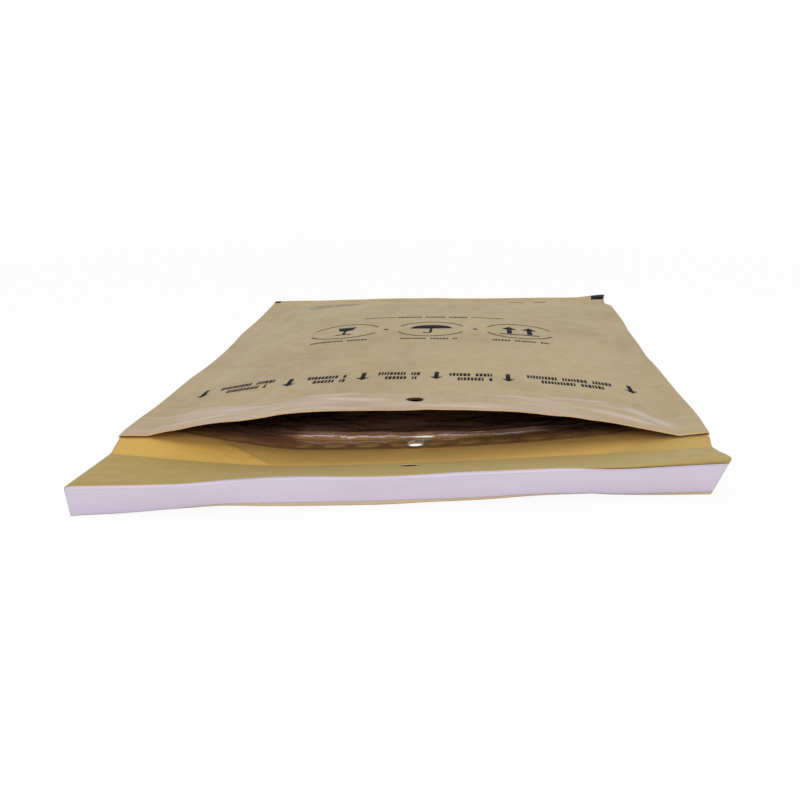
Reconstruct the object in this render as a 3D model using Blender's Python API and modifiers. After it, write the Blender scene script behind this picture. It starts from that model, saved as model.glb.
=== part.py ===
"""Padded envelope: kraft paper outside, bubble film inside, lying open on its back.

The mouth is towards -Y.  The flap hangs out of the mouth, is creased just outside it,
rises to a bent ridge and comes down to the table on its tip.
Units are metres, +Z is up, and the origin is at the middle of the underside.
"""

import math

import bmesh
import bpy
from mathutils import Vector

# Sizes of the flat envelope
BODY_WIDTH = 0.200
BODY_LENGTH = 0.275
SEAM_WIDTH = 0.010
FAR_SEAL = 0.009

# Sheets, and the space kept between sheets that touch
PAPER = 0.0003
SEAM_FILM = 0.0003
LINER_PAPER = 0.0002
ADHESIVE = 0.0002
SKIN_GAP = 0.00025

# Bubble lining: pressed flat along the mouth, then full
LINING = 0.0035
LINING_SETBACK = 0.0122
LINING_SHARE = 0.42
PRESSED_LINING = 0.0008
PRESSED_END = 0.0205
FULL_START = 0.0265
POCKET_GAP = 0.001
BUBBLE_PITCH = 0.011
BUBBLE_RISE = 0.0026
BUBBLE_SHARE = 0.7

# Punched holes for a paper fastener
HOLE_DIAMETER = 0.0062
HOLE_SETBACK = 0.0163
PUNCH_REACH = 0.006

# Flap: the crease just outside the mouth, the bent ridge and the tip, left and right
CREASE_OUT = 0.0097
CREASE_LEFT = 0.0087
CREASE_RIGHT = 0.0115
RIDGE_OUT_LEFT = 0.0472
RIDGE_OUT_RIGHT = 0.0332
RIDGE_ROUND_LEFT = 0.0018
RIDGE_ROUND_RIGHT = 0.0012
RIDGE_LEFT = 0.0126
RIDGE_MIDDLE = 0.0139
RIDGE_RIGHT = 0.0169
TIP_OUT_LEFT = 0.0400
TIP_OUT_RIGHT = 0.0215
TIP_LEFT = 0.0003
TIP_RIGHT = 0.0
TIP_ARCH = 0.0018

# Release liner and the glue line under it, measured from the tip along the flap
LINER_MARGIN = 0.0022
LINER_WIDTH = 0.0150
GLUE_MARGIN = 0.0035
GLUE_WIDTH = 0.0075
STRIP_END_GAP = 0.0006

# Open mouth: heights of the seams, the crown of the front and the sag of the back
SEAM_LEFT = 0.0112
SEAM_RIGHT = 0.0118
SEAM_FAR_LEFT = 0.0007
SEAM_FAR_RIGHT = 0.0018
SEAM_FALL_LEFT = 1.7
CORNER_CURL = 0.0012
CROWN_AT_MOUTH = 0.0217
CROWN_AT_HOLE = 0.0199
CROWN_AT_MIDDLE = 0.0156
CROWN_AT_FAR_SLOPE = 0.0086
CROWN_AT_FAR_SEAL = 0.0019
FAR_SLOPE = 0.045
FRONT_FULLNESS = 2.6
DENT_PLACE = -0.058
DENT_DEPTH = 0.0013
DENT_SPREAD = 0.011
SAG_PLACE = -0.042
SAG_AT_CREASE = 0.0043
SAG_AT_LINING = 0.0017
LIFT_LENGTH = 0.046
FLAT_LENGTH = 0.060
FLAT_EDGE = 0.050
FAR_LIFT = 0.0007
BEND_AT_CREASE = 1.4
BEND_LEFT = 1.3
BEND_RIGHT = 2.2
BEND_INSIDE = 2.0

# Fineness of the meshes
SHEET_COLUMNS = 24
SEAM_COLUMNS = 2
BODY_ROW = 0.024
FLAP_ROWS = 4
POCKET_ROWS = 9
HOLE_SIDES = 24

LEFT = -1
RIGHT = 1

HALF_WIDTH = BODY_WIDTH / 2
HALF_POCKET = HALF_WIDTH - SEAM_WIDTH
SEAM_THICKNESS = 2 * PAPER + 2 * SKIN_GAP + SEAM_FILM
FLAP_REACH = max(RIDGE_OUT_LEFT, RIDGE_OUT_RIGHT, TIP_OUT_LEFT, TIP_OUT_RIGHT)
MOUTH_Y = -(BODY_LENGTH - FLAP_REACH) / 2


def smooth_curve(*points):
    """A smooth curve through (place, value) points that never swings past them."""
    places = [place for place, value in points]
    values = [value for place, value in points]
    steps = [b - a for a, b in zip(places, places[1:])]
    grades = [(b - a) / step for a, b, step in zip(values, values[1:], steps)]
    slopes = [grades[0]]
    for before, after in zip(grades, grades[1:]):
        same_way = before * after > 0
        slopes.append(2 * before * after / (before + after) if same_way else 0.0)
    slopes.append(grades[-1])

    def value_at(place):
        place = min(max(place, places[0]), places[-1])
        index = max(i for i in range(len(steps)) if place >= places[i])
        t = (place - places[index]) / steps[index]
        rise = values[index + 1] - values[index]
        start = slopes[index] * steps[index]
        end = slopes[index + 1] * steps[index]
        curved = start * t + (3 * rise - 2 * start - end) * t ** 2
        return values[index] + curved + (start + end - 2 * rise) * t ** 3

    return value_at


def across(x, left, right):
    """A value that runs evenly from the left edge to the right edge."""
    share = (x + HALF_WIDTH) / BODY_WIDTH
    return left + (right - left) * share


# Seams, measured from the mouth line: y is 0 there and grows towards the far edge

def seam_middle(side, y):
    """Height of the middle of a side seam."""
    left = SEAM_FAR_LEFT + (SEAM_LEFT - SEAM_FAR_LEFT) * (1 - y / BODY_LENGTH) ** SEAM_FALL_LEFT
    right = SEAM_FAR_RIGHT + (SEAM_RIGHT - SEAM_FAR_RIGHT) * (1 - y / BODY_LENGTH)
    return left if side == LEFT else right


def corner_curl(x, y):
    """Extra height of the right seam near the mouth, whose corner is bent up."""
    outward = max(0.0, (x - HALF_POCKET) / SEAM_WIDTH)
    return CORNER_CURL * outward * (1 - max(y, 0.0) / BODY_LENGTH) ** 2


# Back sheet: its underside, from the crease of the flap to the far edge

def back_curve(at_crease, at_lining, inside, inside_start=FLAT_LENGTH):
    """A value along the back sheet: at the crease, at the lining's edge and deep inside."""
    return smooth_curve(
        (-CREASE_OUT, at_crease), (LINING_SETBACK, at_lining), (inside_start, inside))


sag_height = back_curve(SAG_AT_CREASE, SAG_AT_LINING, 0.0, LIFT_LENGTH)
sag_place = back_curve(SAG_PLACE, SAG_PLACE, 0.0)
flat_half = back_curve(0.0, 0.0, HALF_POCKET - FLAT_EDGE)
bend_left = back_curve(BEND_AT_CREASE, BEND_LEFT, BEND_INSIDE)
bend_right = back_curve(BEND_AT_CREASE, BEND_RIGHT, BEND_INSIDE)
sealed_half = smooth_curve((-CREASE_OUT, HALF_WIDTH), (0.0, HALF_POCKET))
far_lift = smooth_curve((BODY_LENGTH - 2 * FAR_SEAL, 0.0), (BODY_LENGTH, FAR_LIFT))


def back_edge(side, y):
    """Height of the back sheet's underside at its side edge."""
    crease = CREASE_LEFT if side == LEFT else CREASE_RIGHT
    sealed = seam_middle(side, max(y, 0.0)) - SEAM_THICKNESS / 2
    outside = max(0.0, -y / CREASE_OUT)
    return sealed + (crease - sealed) * outside


def back_height(x, y):
    """Height of the back sheet's underside."""
    low_x = sag_place(y)
    side = LEFT if x < low_x else RIGHT
    bend = bend_left(y) if side == LEFT else bend_right(y)
    low = sag_height(y) + far_lift(y) * (1 + x / HALF_WIDTH)
    room = sealed_half(y) - side * low_x - flat_half(y)
    share = min(1.0, max(0.0, side * (x - low_x) - flat_half(y)) / room)
    height = low + (max(back_edge(side, y), low) - low) * share ** bend
    return height + corner_curl(x, y) * max(0.0, 1 + min(y, 0.0) / CREASE_OUT)


# Front sheet: its top face, from the mouth to the far edge

crown = smooth_curve(
    (0.0, CROWN_AT_MOUTH),
    (HOLE_SETBACK, CROWN_AT_HOLE),
    (BODY_LENGTH / 2, CROWN_AT_MIDDLE),
    (BODY_LENGTH - FAR_SLOPE, CROWN_AT_FAR_SLOPE),
    (BODY_LENGTH - FAR_SEAL, CROWN_AT_FAR_SEAL),
    (BODY_LENGTH, CROWN_AT_FAR_SEAL),
)


def front_height(x, y):
    """Height of the front sheet's top face."""
    side = LEFT if x < 0 else RIGHT
    sealed = seam_middle(side, y) + SEAM_THICKNESS / 2
    share = min(1.0, abs(x) / HALF_POCKET)
    bulge = 1 - share ** FRONT_FULLNESS
    dent = DENT_DEPTH * math.exp(-((x - DENT_PLACE) / DENT_SPREAD) ** 2)
    dent *= max(0.0, 1 - y / FLAT_LENGTH)
    height = sealed + (crown(y) - sealed) * bulge - dent * bulge + corner_curl(x, y)
    return max(height, back_height(x, y) + SEAM_THICKNESS)


# Flap: its underside, from the crease to the tip

ridge_height = smooth_curve(
    (-HALF_WIDTH, RIDGE_LEFT),
    (0.0, RIDGE_MIDDLE),
    (HALF_WIDTH, RIDGE_RIGHT),
)


def blend_corner(before, corner, after, t):
    """A point on the rounded corner between two straight runs."""
    return before * (1 - t) ** 2 + corner * 2 * t * (1 - t) + after * t ** 2


def flap_path(x):
    """Points of the flap's underside at one place across it, from the crease to the tip."""
    crease = Vector((x, -CREASE_OUT, back_height(x, -CREASE_OUT)))
    ridge = Vector((x, -across(x, RIDGE_OUT_LEFT, RIDGE_OUT_RIGHT), ridge_height(x)))
    arch = TIP_ARCH * (1 - (x / HALF_WIDTH) ** 4)
    tip_height = across(x, TIP_LEFT, TIP_RIGHT) + arch
    tip = Vector((x, -across(x, TIP_OUT_LEFT, TIP_OUT_RIGHT), tip_height))
    lean = (tip.y - ridge.y) / (ridge - tip).length
    tip.z += max(0.0, lean) * PAPER
    trim = across(x, RIDGE_ROUND_LEFT, RIDGE_ROUND_RIGHT)
    before = ridge + (crease - ridge).normalized() * trim
    after = ridge + (tip - ridge).normalized() * trim
    path = [crease.lerp(before, row / FLAP_ROWS) for row in range(FLAP_ROWS)]
    path += [blend_corner(before, ridge, after, t / FLAP_ROWS) for t in range(FLAP_ROWS)]
    path += [after.lerp(tip, row / FLAP_ROWS) for row in range(FLAP_ROWS + 1)]
    return path


def lifted(point, before, after, lift):
    """A point moved off the inner side of the flap, square to the runs on either side."""
    along = (before.normalized() + after.normalized()).normalized()
    inner_side = Vector((1, 0, 0)).cross(along)
    return point + inner_side * lift / along.dot(after.normalized())


def flap_band(x, start, end, lift):
    """Points over the flap between two distances from its tip.

    There is one for each point of the flap's path, and those past an end are held at it.
    """
    path = flap_path(x)[::-1]
    runs = [far - near for near, far in zip(path, path[1:])]
    runs = [runs[0]] + runs + [runs[-1]]
    band = []
    travelled = 0.0
    for index, point in enumerate(path):
        before = runs[index]
        after = runs[index + 1]
        if start <= travelled <= end:
            band.append(lifted(point, before, after, lift))
        if travelled < start:
            band.append(held_point(path, start, lift))
        if travelled > end:
            band.append(held_point(path, end, lift))
        travelled += after.length
    return band


def held_point(path, distance, lift):
    """The point at a distance along a path, lifted off it."""
    for near, far in zip(path, path[1:]):
        run = far - near
        if distance <= run.length or far is path[-1]:
            return lifted(near + run.normalized() * distance, run, run, lift)
        distance -= run.length


# Rows and columns

def body_rows():
    """Places of the sheets' rows from the mouth to the far edge."""
    behind_hole = HOLE_SETBACK + HOLE_DIAMETER
    rows = [0.0, LINING_SETBACK / 2, LINING_SETBACK, behind_hole]
    rows += [(behind_hole + LIFT_LENGTH) / 2, LIFT_LENGTH]
    rows += [(LIFT_LENGTH + FLAT_LENGTH) / 2, FLAT_LENGTH]
    straight = BODY_LENGTH - FAR_SLOPE - FLAT_LENGTH
    count = max(1, round(straight / BODY_ROW))
    rows += [FLAT_LENGTH + straight * (row + 1) / count for row in range(count)]
    slope = FAR_SLOPE - FAR_SEAL
    rows += [BODY_LENGTH - FAR_SEAL - slope * share for share in (0.75, 0.5, 0.25, 0.0)]
    return rows + [BODY_LENGTH - FAR_SEAL / 2, BODY_LENGTH]


def sheet_columns():
    """Places of the columns across a sheet, with one on each seam line."""
    seam = [HALF_POCKET + SEAM_WIDTH * step / SEAM_COLUMNS for step in range(1, SEAM_COLUMNS + 1)]
    inside = [HALF_POCKET * (2 * step / SHEET_COLUMNS - 1) for step in range(SHEET_COLUMNS + 1)]
    return [-x for x in reversed(seam)] + inside + seam


# Meshes

def add_sheet(bm, columns, rows, place):
    """A grid whose points are set by place(column, row); returned as lists of rows."""
    made = bmesh.ops.create_grid(bm, x_segments=columns - 1, y_segments=rows - 1, size=0.5)
    sheet = [[None] * columns for row in range(rows)]
    for vert in made["verts"]:
        column = round((vert.co.x + 0.5) * (columns - 1))
        row = round((vert.co.y + 0.5) * (rows - 1))
        sheet[row][column] = vert
    for row in range(rows):
        for column in range(columns):
            sheet[row][column].co = place(column, row)
    return sheet


def edges_along(verts):
    """The edges that join neighbouring points of a row of points."""
    found = []
    for a, b in zip(verts, verts[1:]):
        found += [edge for edge in a.link_edges if edge.other_vert(a) is b]
    return found


def closed_sides(sheet, first_row):
    """The points down the left side, along the far edge and back up the right side."""
    rows = sheet[first_row:]
    left = [row[0] for row in rows]
    right = [row[-1] for row in reversed(rows)]
    return left + rows[-1][1:-1] + right


def join(bm, points_a, points_b):
    """A strip of faces between two rows of points."""
    bmesh.ops.bridge_loops(bm, edges=edges_along(points_a) + edges_along(points_b))


def finish(bm, name, material):
    """An object from a mesh whose mouth line is at y = 0, moved to its place."""
    bmesh.ops.translate(bm, verts=bm.verts, vec=(0, MOUTH_Y, 0))
    mesh = bpy.data.meshes.new(name)
    bm.to_mesh(mesh)
    bm.free()
    mesh.shade_smooth()
    mesh.set_sharp_from_angle(angle=math.radians(35))
    mesh.materials.append(material)
    obj = bpy.data.objects.new(name, mesh)
    parts.objects.link(obj)
    return obj


def thicken(obj, thickness, offset, even):
    """Gives a sheet its thickness, to one side of it."""
    solid = obj.modifiers.new("thickness", "SOLIDIFY")
    solid.thickness = thickness
    solid.offset = offset
    solid.use_even_offset = even


def make_material(name, colour, roughness, alpha=1.0):
    material = bpy.data.materials.new(name)
    material.use_nodes = True
    shader = material.node_tree.nodes["Principled BSDF"]
    shader.inputs["Base Color"].default_value = (*colour, 1.0)
    shader.inputs["Roughness"].default_value = roughness
    shader.inputs["Metallic"].default_value = 0.0
    shader.inputs["Alpha"].default_value = alpha
    return material


# Holes

def hole_cutter(name, centre, direction, length):
    """A round punch that passes through every sheet near its centre."""
    bpy.ops.mesh.primitive_cylinder_add(
        vertices=HOLE_SIDES, radius=HOLE_DIAMETER / 2, depth=length, location=centre)
    cutter = bpy.context.object
    cutter.name = name
    cutter.rotation_mode = "QUATERNION"
    cutter.rotation_quaternion = direction.to_track_quat("Z", "Y")
    cutter.hide_render = True
    cutter.display_type = "WIRE"
    for collection in list(cutter.users_collection):
        collection.objects.unlink(cutter)
    cutters.objects.link(cutter)
    return cutter


def punch(obj, cutter):
    hole = obj.modifiers.new(cutter.name, "BOOLEAN")
    hole.operation = "DIFFERENCE"
    hole.solver = "EXACT"
    hole.object = cutter


# Pieces

def kraft_envelope():
    """The folded paper: back with the flap, front, and the closed sides and far edge."""
    bm = bmesh.new()
    columns = sheet_columns()
    rows = body_rows()
    paths = [flap_path(x)[::-1] for x in columns]
    flap_rows = len(paths[0])

    def back_place(column, row):
        if row < flap_rows:
            return paths[column][row]
        x = columns[column]
        y = back_rows[row - flap_rows]
        return Vector((x, y, back_height(x, y)))

    back_rows = [-CREASE_OUT / 2] + rows
    back = add_sheet(bm, len(columns), flap_rows + len(back_rows), back_place)
    front = add_sheet(bm, len(columns), len(rows), lambda column, row: Vector(
        (columns[column], rows[row], front_height(columns[column], rows[row]))))
    join(bm, closed_sides(back, flap_rows + 1), closed_sides(front, 0))
    bmesh.ops.recalc_face_normals(bm, faces=bm.faces)
    kraft = finish(bm, "kraft_envelope", make_material("kraft_paper", (0.47, 0.36, 0.22), 0.75))
    thicken(kraft, PAPER, -1, True)
    return kraft


pressed_thickness = smooth_curve(
    (LINING_SETBACK, PRESSED_LINING), (PRESSED_END, PRESSED_LINING), (FULL_START, LINING))


def lining_room(x, y):
    """Height between the two paper sheets that the lining may fill."""
    return front_height(x, y) - back_height(x, y) - 2 * (PAPER + SKIN_GAP)


def lining_thickness(x, y):
    """Thickness of one wall of the lining, thinner where the sheets close up."""
    return min(pressed_thickness(y), LINING_SHARE * lining_room(x, y))


def add_lining_skin(bm, columns, rows, spots, depth):
    """A pouch face: top and bottom sheets joined round the sides and the far end."""
    inset = PAPER + SKIN_GAP

    def place(column, row, side):
        x, y = spots(column, row)
        paper = front_height(x, y) if side > 0 else back_height(x, y)
        return Vector((x, y, paper - side * (inset + depth(x, y, column, row))))

    front = add_sheet(bm, columns, rows, lambda column, row: place(column, row, 1))
    back = add_sheet(bm, columns, rows, lambda column, row: place(column, row, -1))
    join(bm, closed_sides(front, 0), closed_sides(back, 0))
    return front, back


def bubble_lining():
    """The film pouch: bubbles towards the paper, a smooth pocket inside."""
    bm = bmesh.new()
    spacing = BUBBLE_PITCH / math.sqrt(3)
    length = BODY_LENGTH - FAR_SEAL - LINING_SETBACK
    inner_columns = round(2 * HALF_POCKET / spacing) + 1
    bubble_rows = round(length / (BUBBLE_PITCH / 2)) + 1
    step_x = 2 * HALF_POCKET / (inner_columns - 1)
    step_y = length / (bubble_rows - 1)
    columns = inner_columns + 2
    rows = bubble_rows + 1
    outer_x = HALF_WIDTH - PAPER - SKIN_GAP
    outer_y = BODY_LENGTH - PAPER - SKIN_GAP

    def bubble_spot(column, row):
        y = outer_y if row == rows - 1 else LINING_SETBACK + row * step_y
        if column in (0, columns - 1):
            return math.copysign(outer_x, column - 1), y
        edge = column in (1, columns - 2)
        shift = 0.0 if edge or row % 2 == 0 else step_x / 2
        return -HALF_POCKET + (column - 1) * step_x + shift, y

    def bubble_depth(x, y, column, row):
        edge = column < 2 or column > columns - 3 or row >= rows - 2
        peak = (column - row // 2 - row) % 3 == 0
        if edge or peak:
            return 0.0
        return min(BUBBLE_RISE, BUBBLE_SHARE * lining_thickness(x, y))

    mouth_rows = [LINING_SETBACK, PRESSED_END, (PRESSED_END + FULL_START) / 2]
    deep = LINING_SETBACK + length - POCKET_GAP - FULL_START
    deep_rows = [FULL_START + deep * row / (POCKET_ROWS - 1) for row in range(POCKET_ROWS)]
    pocket_rows = mouth_rows + deep_rows

    def pocket_spot(column, row):
        x = (HALF_POCKET - POCKET_GAP) * (2 * column / (columns - 1) - 1)
        return x, pocket_rows[row]

    def pocket_depth(x, y, column, row):
        return lining_thickness(x, y)

    outer = add_lining_skin(bm, columns, rows, bubble_spot, bubble_depth)
    inner = add_lining_skin(bm, columns, len(pocket_rows), pocket_spot, pocket_depth)
    for outer_sheet, inner_sheet in zip(outer, inner):
        join(bm, outer_sheet[0], inner_sheet[0])
    open_edges = [edge for edge in bm.edges if edge.is_boundary]
    bmesh.ops.holes_fill(bm, edges=open_edges, sides=4)
    bmesh.ops.triangulate(bm, faces=bm.faces, quad_method="SHORT_EDGE")
    bmesh.ops.recalc_face_normals(bm, faces=bm.faces)
    film = make_material("bubble_film", (0.75, 0.74, 0.76), 0.2, 0.5)
    return finish(bm, "bubble_lining", film)


def flap_strip(name, margin, width, lift, thickness, material):
    """A band that lies on the inner side of the flap, along its tip."""
    bm = bmesh.new()
    reach = HALF_WIDTH - STRIP_END_GAP
    places = [min(max(x, -reach), reach) for x in sheet_columns()]
    bands = [flap_band(x, margin, margin + width, lift) for x in places]
    add_sheet(bm, len(bands), len(bands[0]), lambda column, row: bands[column][row])
    bmesh.ops.remove_doubles(bm, verts=bm.verts, dist=SKIN_GAP / 2)
    strip = finish(bm, name, material)
    thicken(strip, thickness, 1, False)
    return strip


def main():
    kraft = kraft_envelope()
    lining = bubble_lining()
    glue_lift = PAPER + SKIN_GAP
    glue = make_material("adhesive", (0.80, 0.76, 0.62), 0.3)
    flap_strip("adhesive_strip", GLUE_MARGIN, GLUE_WIDTH, glue_lift, ADHESIVE, glue)
    liner_lift = glue_lift + ADHESIVE + SKIN_GAP
    liner = make_material("release_paper", (0.66, 0.58, 0.70), 0.35)
    flap_strip("release_liner", LINER_MARGIN, LINER_WIDTH, liner_lift, LINER_PAPER, liner)

    mouth_hole = Vector((0, MOUTH_Y + HOLE_SETBACK, CROWN_AT_HOLE / 2))
    body_punch = hole_cutter("body_punch", mouth_hole, Vector((0, 0, 1)), 2 * CROWN_AT_HOLE)
    flap_end = flap_path(0.0)
    slope = (flap_end[1] - flap_end[0]).normalized()
    flap_hole = flap_end[0] + slope * (HOLE_SETBACK - CREASE_OUT) + Vector((0, MOUTH_Y, 0))
    square_to_flap = Vector((1, 0, 0)).cross(slope)
    flap_punch = hole_cutter("flap_punch", flap_hole, square_to_flap, PUNCH_REACH)
    punch(kraft, body_punch)
    punch(kraft, flap_punch)
    punch(lining, body_punch)


for old in list(bpy.data.objects):
    bpy.data.objects.remove(old, do_unlink=True)
parts = bpy.data.collections.new("padded_envelope")
cutters = bpy.data.collections.new("cutters")
bpy.context.scene.collection.children.link(parts)
bpy.context.scene.collection.children.link(cutters)
main()
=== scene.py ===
"""Looks of the padded envelope: kraft paper, bubble film, release liner and print.

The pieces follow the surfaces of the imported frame.  Their own coordinates have y = 0 at the
mouth line, growing towards the far edge, and finished meshes are moved by MOUTH_Y.
"""

import math

import bpy
import numpy as np
from mathutils import Euler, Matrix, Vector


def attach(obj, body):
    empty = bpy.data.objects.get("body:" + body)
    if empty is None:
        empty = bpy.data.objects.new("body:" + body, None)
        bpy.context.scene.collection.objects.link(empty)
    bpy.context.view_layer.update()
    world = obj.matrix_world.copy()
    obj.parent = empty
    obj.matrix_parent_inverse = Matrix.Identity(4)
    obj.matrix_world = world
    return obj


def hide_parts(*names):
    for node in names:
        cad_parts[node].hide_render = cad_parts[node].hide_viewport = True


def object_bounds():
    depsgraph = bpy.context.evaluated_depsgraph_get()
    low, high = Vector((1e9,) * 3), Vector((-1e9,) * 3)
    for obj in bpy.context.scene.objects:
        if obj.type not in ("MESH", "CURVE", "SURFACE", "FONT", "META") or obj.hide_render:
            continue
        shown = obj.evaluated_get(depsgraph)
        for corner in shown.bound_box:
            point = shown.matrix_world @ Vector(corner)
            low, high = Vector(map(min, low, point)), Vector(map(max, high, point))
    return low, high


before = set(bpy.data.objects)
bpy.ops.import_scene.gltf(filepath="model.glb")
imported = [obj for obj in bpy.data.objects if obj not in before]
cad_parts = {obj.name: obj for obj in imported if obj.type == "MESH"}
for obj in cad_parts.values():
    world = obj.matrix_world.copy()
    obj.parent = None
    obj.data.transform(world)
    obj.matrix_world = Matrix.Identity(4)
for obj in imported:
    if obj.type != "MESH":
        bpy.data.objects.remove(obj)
cad_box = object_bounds()

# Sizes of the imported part, in metres
BODY_WIDTH = 0.200
BODY_LENGTH = 0.275
SEAM_WIDTH = 0.010
FAR_SEAL = 0.009
PAPER = 0.0003
SEAM_FILM = 0.0003
SKIN_GAP = 0.00025
LINING = 0.0035
LINING_SETBACK = 0.0122
LINING_SHARE = 0.42
HOLE_DIAMETER = 0.0062
HOLE_SETBACK = 0.0163
CREASE_OUT = 0.0097
CREASE_LEFT = 0.0087
CREASE_RIGHT = 0.0115
RIDGE_OUT_LEFT = 0.0472
RIDGE_OUT_RIGHT = 0.0332
RIDGE_ROUND_LEFT = 0.0018
RIDGE_ROUND_RIGHT = 0.0012
TIP_OUT_LEFT = 0.0400
TIP_OUT_RIGHT = 0.0215
LINER_WIDTH = 0.0150
STRIP_END_GAP = 0.0006
SEAM_LEFT = 0.0112
SEAM_RIGHT = 0.0118
SEAM_FAR_LEFT = 0.0007
SEAM_FAR_RIGHT = 0.0018
SEAM_FALL_LEFT = 1.7
CORNER_CURL = 0.0012
CROWN_AT_MOUTH = 0.0217
CROWN_AT_HOLE = 0.0199
CROWN_AT_MIDDLE = 0.0156
CROWN_AT_FAR_SLOPE = 0.0086
CROWN_AT_FAR_SEAL = 0.0019
FAR_SLOPE = 0.045
FRONT_FULLNESS = 2.6
DENT_PLACE = -0.058
DENT_DEPTH = 0.0013
DENT_SPREAD = 0.011
SAG_PLACE = -0.042
SAG_AT_CREASE = 0.0043
SAG_AT_LINING = 0.0017
LIFT_LENGTH = 0.046
FLAT_LENGTH = 0.060
FLAT_EDGE = 0.050
FAR_LIFT = 0.0007
BEND_AT_CREASE = 1.4
BEND_LEFT = 1.3
BEND_RIGHT = 2.2
BEND_INSIDE = 2.0

LEFT = -1
RIGHT = 1
HALF_WIDTH = BODY_WIDTH / 2
HALF_POCKET = HALF_WIDTH - SEAM_WIDTH
SEAM_THICKNESS = 2 * PAPER + 2 * SKIN_GAP + SEAM_FILM
FLAP_REACH = max(RIDGE_OUT_LEFT, RIDGE_OUT_RIGHT, TIP_OUT_LEFT, TIP_OUT_RIGHT)
MOUTH_Y = -(BODY_LENGTH - FLAP_REACH) / 2

# Sizes of the looks alone, in metres apart from the shares
FOLD_ROUND = 0.00035
BUBBLE_PITCH = 0.0120
BUBBLE_DISC = 0.0047
BUBBLE_FIRST_X = -0.0052
BUBBLE_FIRST_Y = 0.0178
PRESSED_BUBBLE = 0.0003
# Painted shade: the upper wall's film colour is scaled by this
UPPER_FILM_PAINTED_SHADE = 0.14
PALE_BAND = 0.0240
RIDGE_SHARPEN = 0.5
TIP_SKEW = 0.0024
LEAN_RISE = 0.0002
CORNER_LIFT = 0.0016

SEED_RIPPLE, SEED_TIP = 7, 8
SEED_WAVES, SEED_SMALL_WAVES, SEED_BAND = 3, 4, 5
SEED_PALE = 11
SEED_LIP, SEED_LIP_SMALL, SEED_FOLD = 22, 25, 23
SEED_TROUGH, SEED_WRINKLE, SEED_PUFF = 24, 26, 21
SEED_STRIP = 31
SEED_PRINT = 5


# Curves and noise over arrays

def smooth_curve(*points):
    """A smooth curve through (place, value) points that never swings past them."""
    places = np.array([place for place, value in points])
    values = np.array([value for place, value in points])
    steps = np.diff(places)
    grades = np.diff(values) / steps
    product = grades[:-1] * grades[1:]
    total = np.where(product > 0, grades[:-1] + grades[1:], 1.0)
    inner = np.where(product > 0, 2 * product / total, 0.0)
    slopes = np.concatenate([grades[:1], inner, grades[-1:]])

    def value_at(place):
        place = np.clip(place, places[0], places[-1])
        index = np.clip(np.searchsorted(places, place, side="right") - 1, 0, len(steps) - 1)
        t = (place - places[index]) / steps[index]
        rise = values[index + 1] - values[index]
        start = slopes[index] * steps[index]
        end = slopes[index + 1] * steps[index]
        curved = start * t + (3 * rise - 2 * start - end) * t ** 2
        return values[index] + curved + (start + end - 2 * rise) * t ** 3

    return value_at


def step_up(value, start, end):
    """0 before start, 1 after end, smooth between."""
    t = np.clip((value - start) / (end - start), 0.0, 1.0)
    return t * t * (3 - 2 * t)


def window(value, rise_from, rise_to, fall_from, fall_to):
    """1 between rise_to and fall_from, 0 outside, smooth between."""
    return step_up(value, rise_from, rise_to) * (1 - step_up(value, fall_from, fall_to))


def soft_noise(x, y, cell_x, cell_y, seed):
    """Smooth noise from -1 to 1 whose bumps are about one cell across."""
    lattice = np.random.default_rng(seed).uniform(-1, 1, (64, 64))
    u = x / cell_x + 32.3
    v = y / cell_y + 8.7
    i = np.floor(u).astype(int)
    j = np.floor(v).astype(int)
    a = step_up(u - i, 0.0, 1.0)
    b = step_up(v - j, 0.0, 1.0)
    near = lattice[i % 64, j % 64] * (1 - a) + lattice[(i + 1) % 64, j % 64] * a
    far = lattice[i % 64, (j + 1) % 64] * (1 - a) + lattice[(i + 1) % 64, (j + 1) % 64] * a
    return near * (1 - b) + far * b


def pleat(x, y, start, end, width, height):
    """A ridge, or a groove where height is negative, along a line on the sheet."""
    ax, ay = start
    bx, by = end
    length = math.hypot(bx - ax, by - ay)
    along = ((x - ax) * (bx - ax) + (y - ay) * (by - ay)) / length
    beside = ((y - ay) * (bx - ax) - (x - ax) * (by - ay)) / length
    ends = window(along / length, -0.15, 0.3, 0.7, 1.15)
    return height * ends * np.exp(-(beside / width) ** 2)


def across(x, left, right):
    """A value that runs evenly from the left edge to the right edge."""
    return left + (right - left) * (x + HALF_WIDTH) / BODY_WIDTH


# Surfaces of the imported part

def seam_middle(side, y):
    shrink = 1 - y / BODY_LENGTH
    left = SEAM_FAR_LEFT + (SEAM_LEFT - SEAM_FAR_LEFT) * np.abs(shrink) ** SEAM_FALL_LEFT
    right = SEAM_FAR_RIGHT + (SEAM_RIGHT - SEAM_FAR_RIGHT) * shrink
    return np.where(side == LEFT, left, right)


def corner_curl(x, y):
    outward = np.maximum(0.0, (x - HALF_POCKET) / SEAM_WIDTH)
    return CORNER_CURL * outward * (1 - np.maximum(y, 0.0) / BODY_LENGTH) ** 2


def back_curve(at_crease, at_lining, inside, inside_start=FLAT_LENGTH):
    return smooth_curve(
        (-CREASE_OUT, at_crease), (LINING_SETBACK, at_lining), (inside_start, inside))


sag_height = back_curve(SAG_AT_CREASE, SAG_AT_LINING, 0.0, LIFT_LENGTH)
sag_place = back_curve(SAG_PLACE, SAG_PLACE, 0.0)
flat_half = back_curve(0.0, 0.0, HALF_POCKET - FLAT_EDGE)
bend_left = back_curve(BEND_AT_CREASE, BEND_LEFT, BEND_INSIDE)
bend_right = back_curve(BEND_AT_CREASE, BEND_RIGHT, BEND_INSIDE)
sealed_half = smooth_curve((-CREASE_OUT, HALF_WIDTH), (0.0, HALF_POCKET))
far_lift = smooth_curve((BODY_LENGTH - 2 * FAR_SEAL, 0.0), (BODY_LENGTH, FAR_LIFT))


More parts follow.
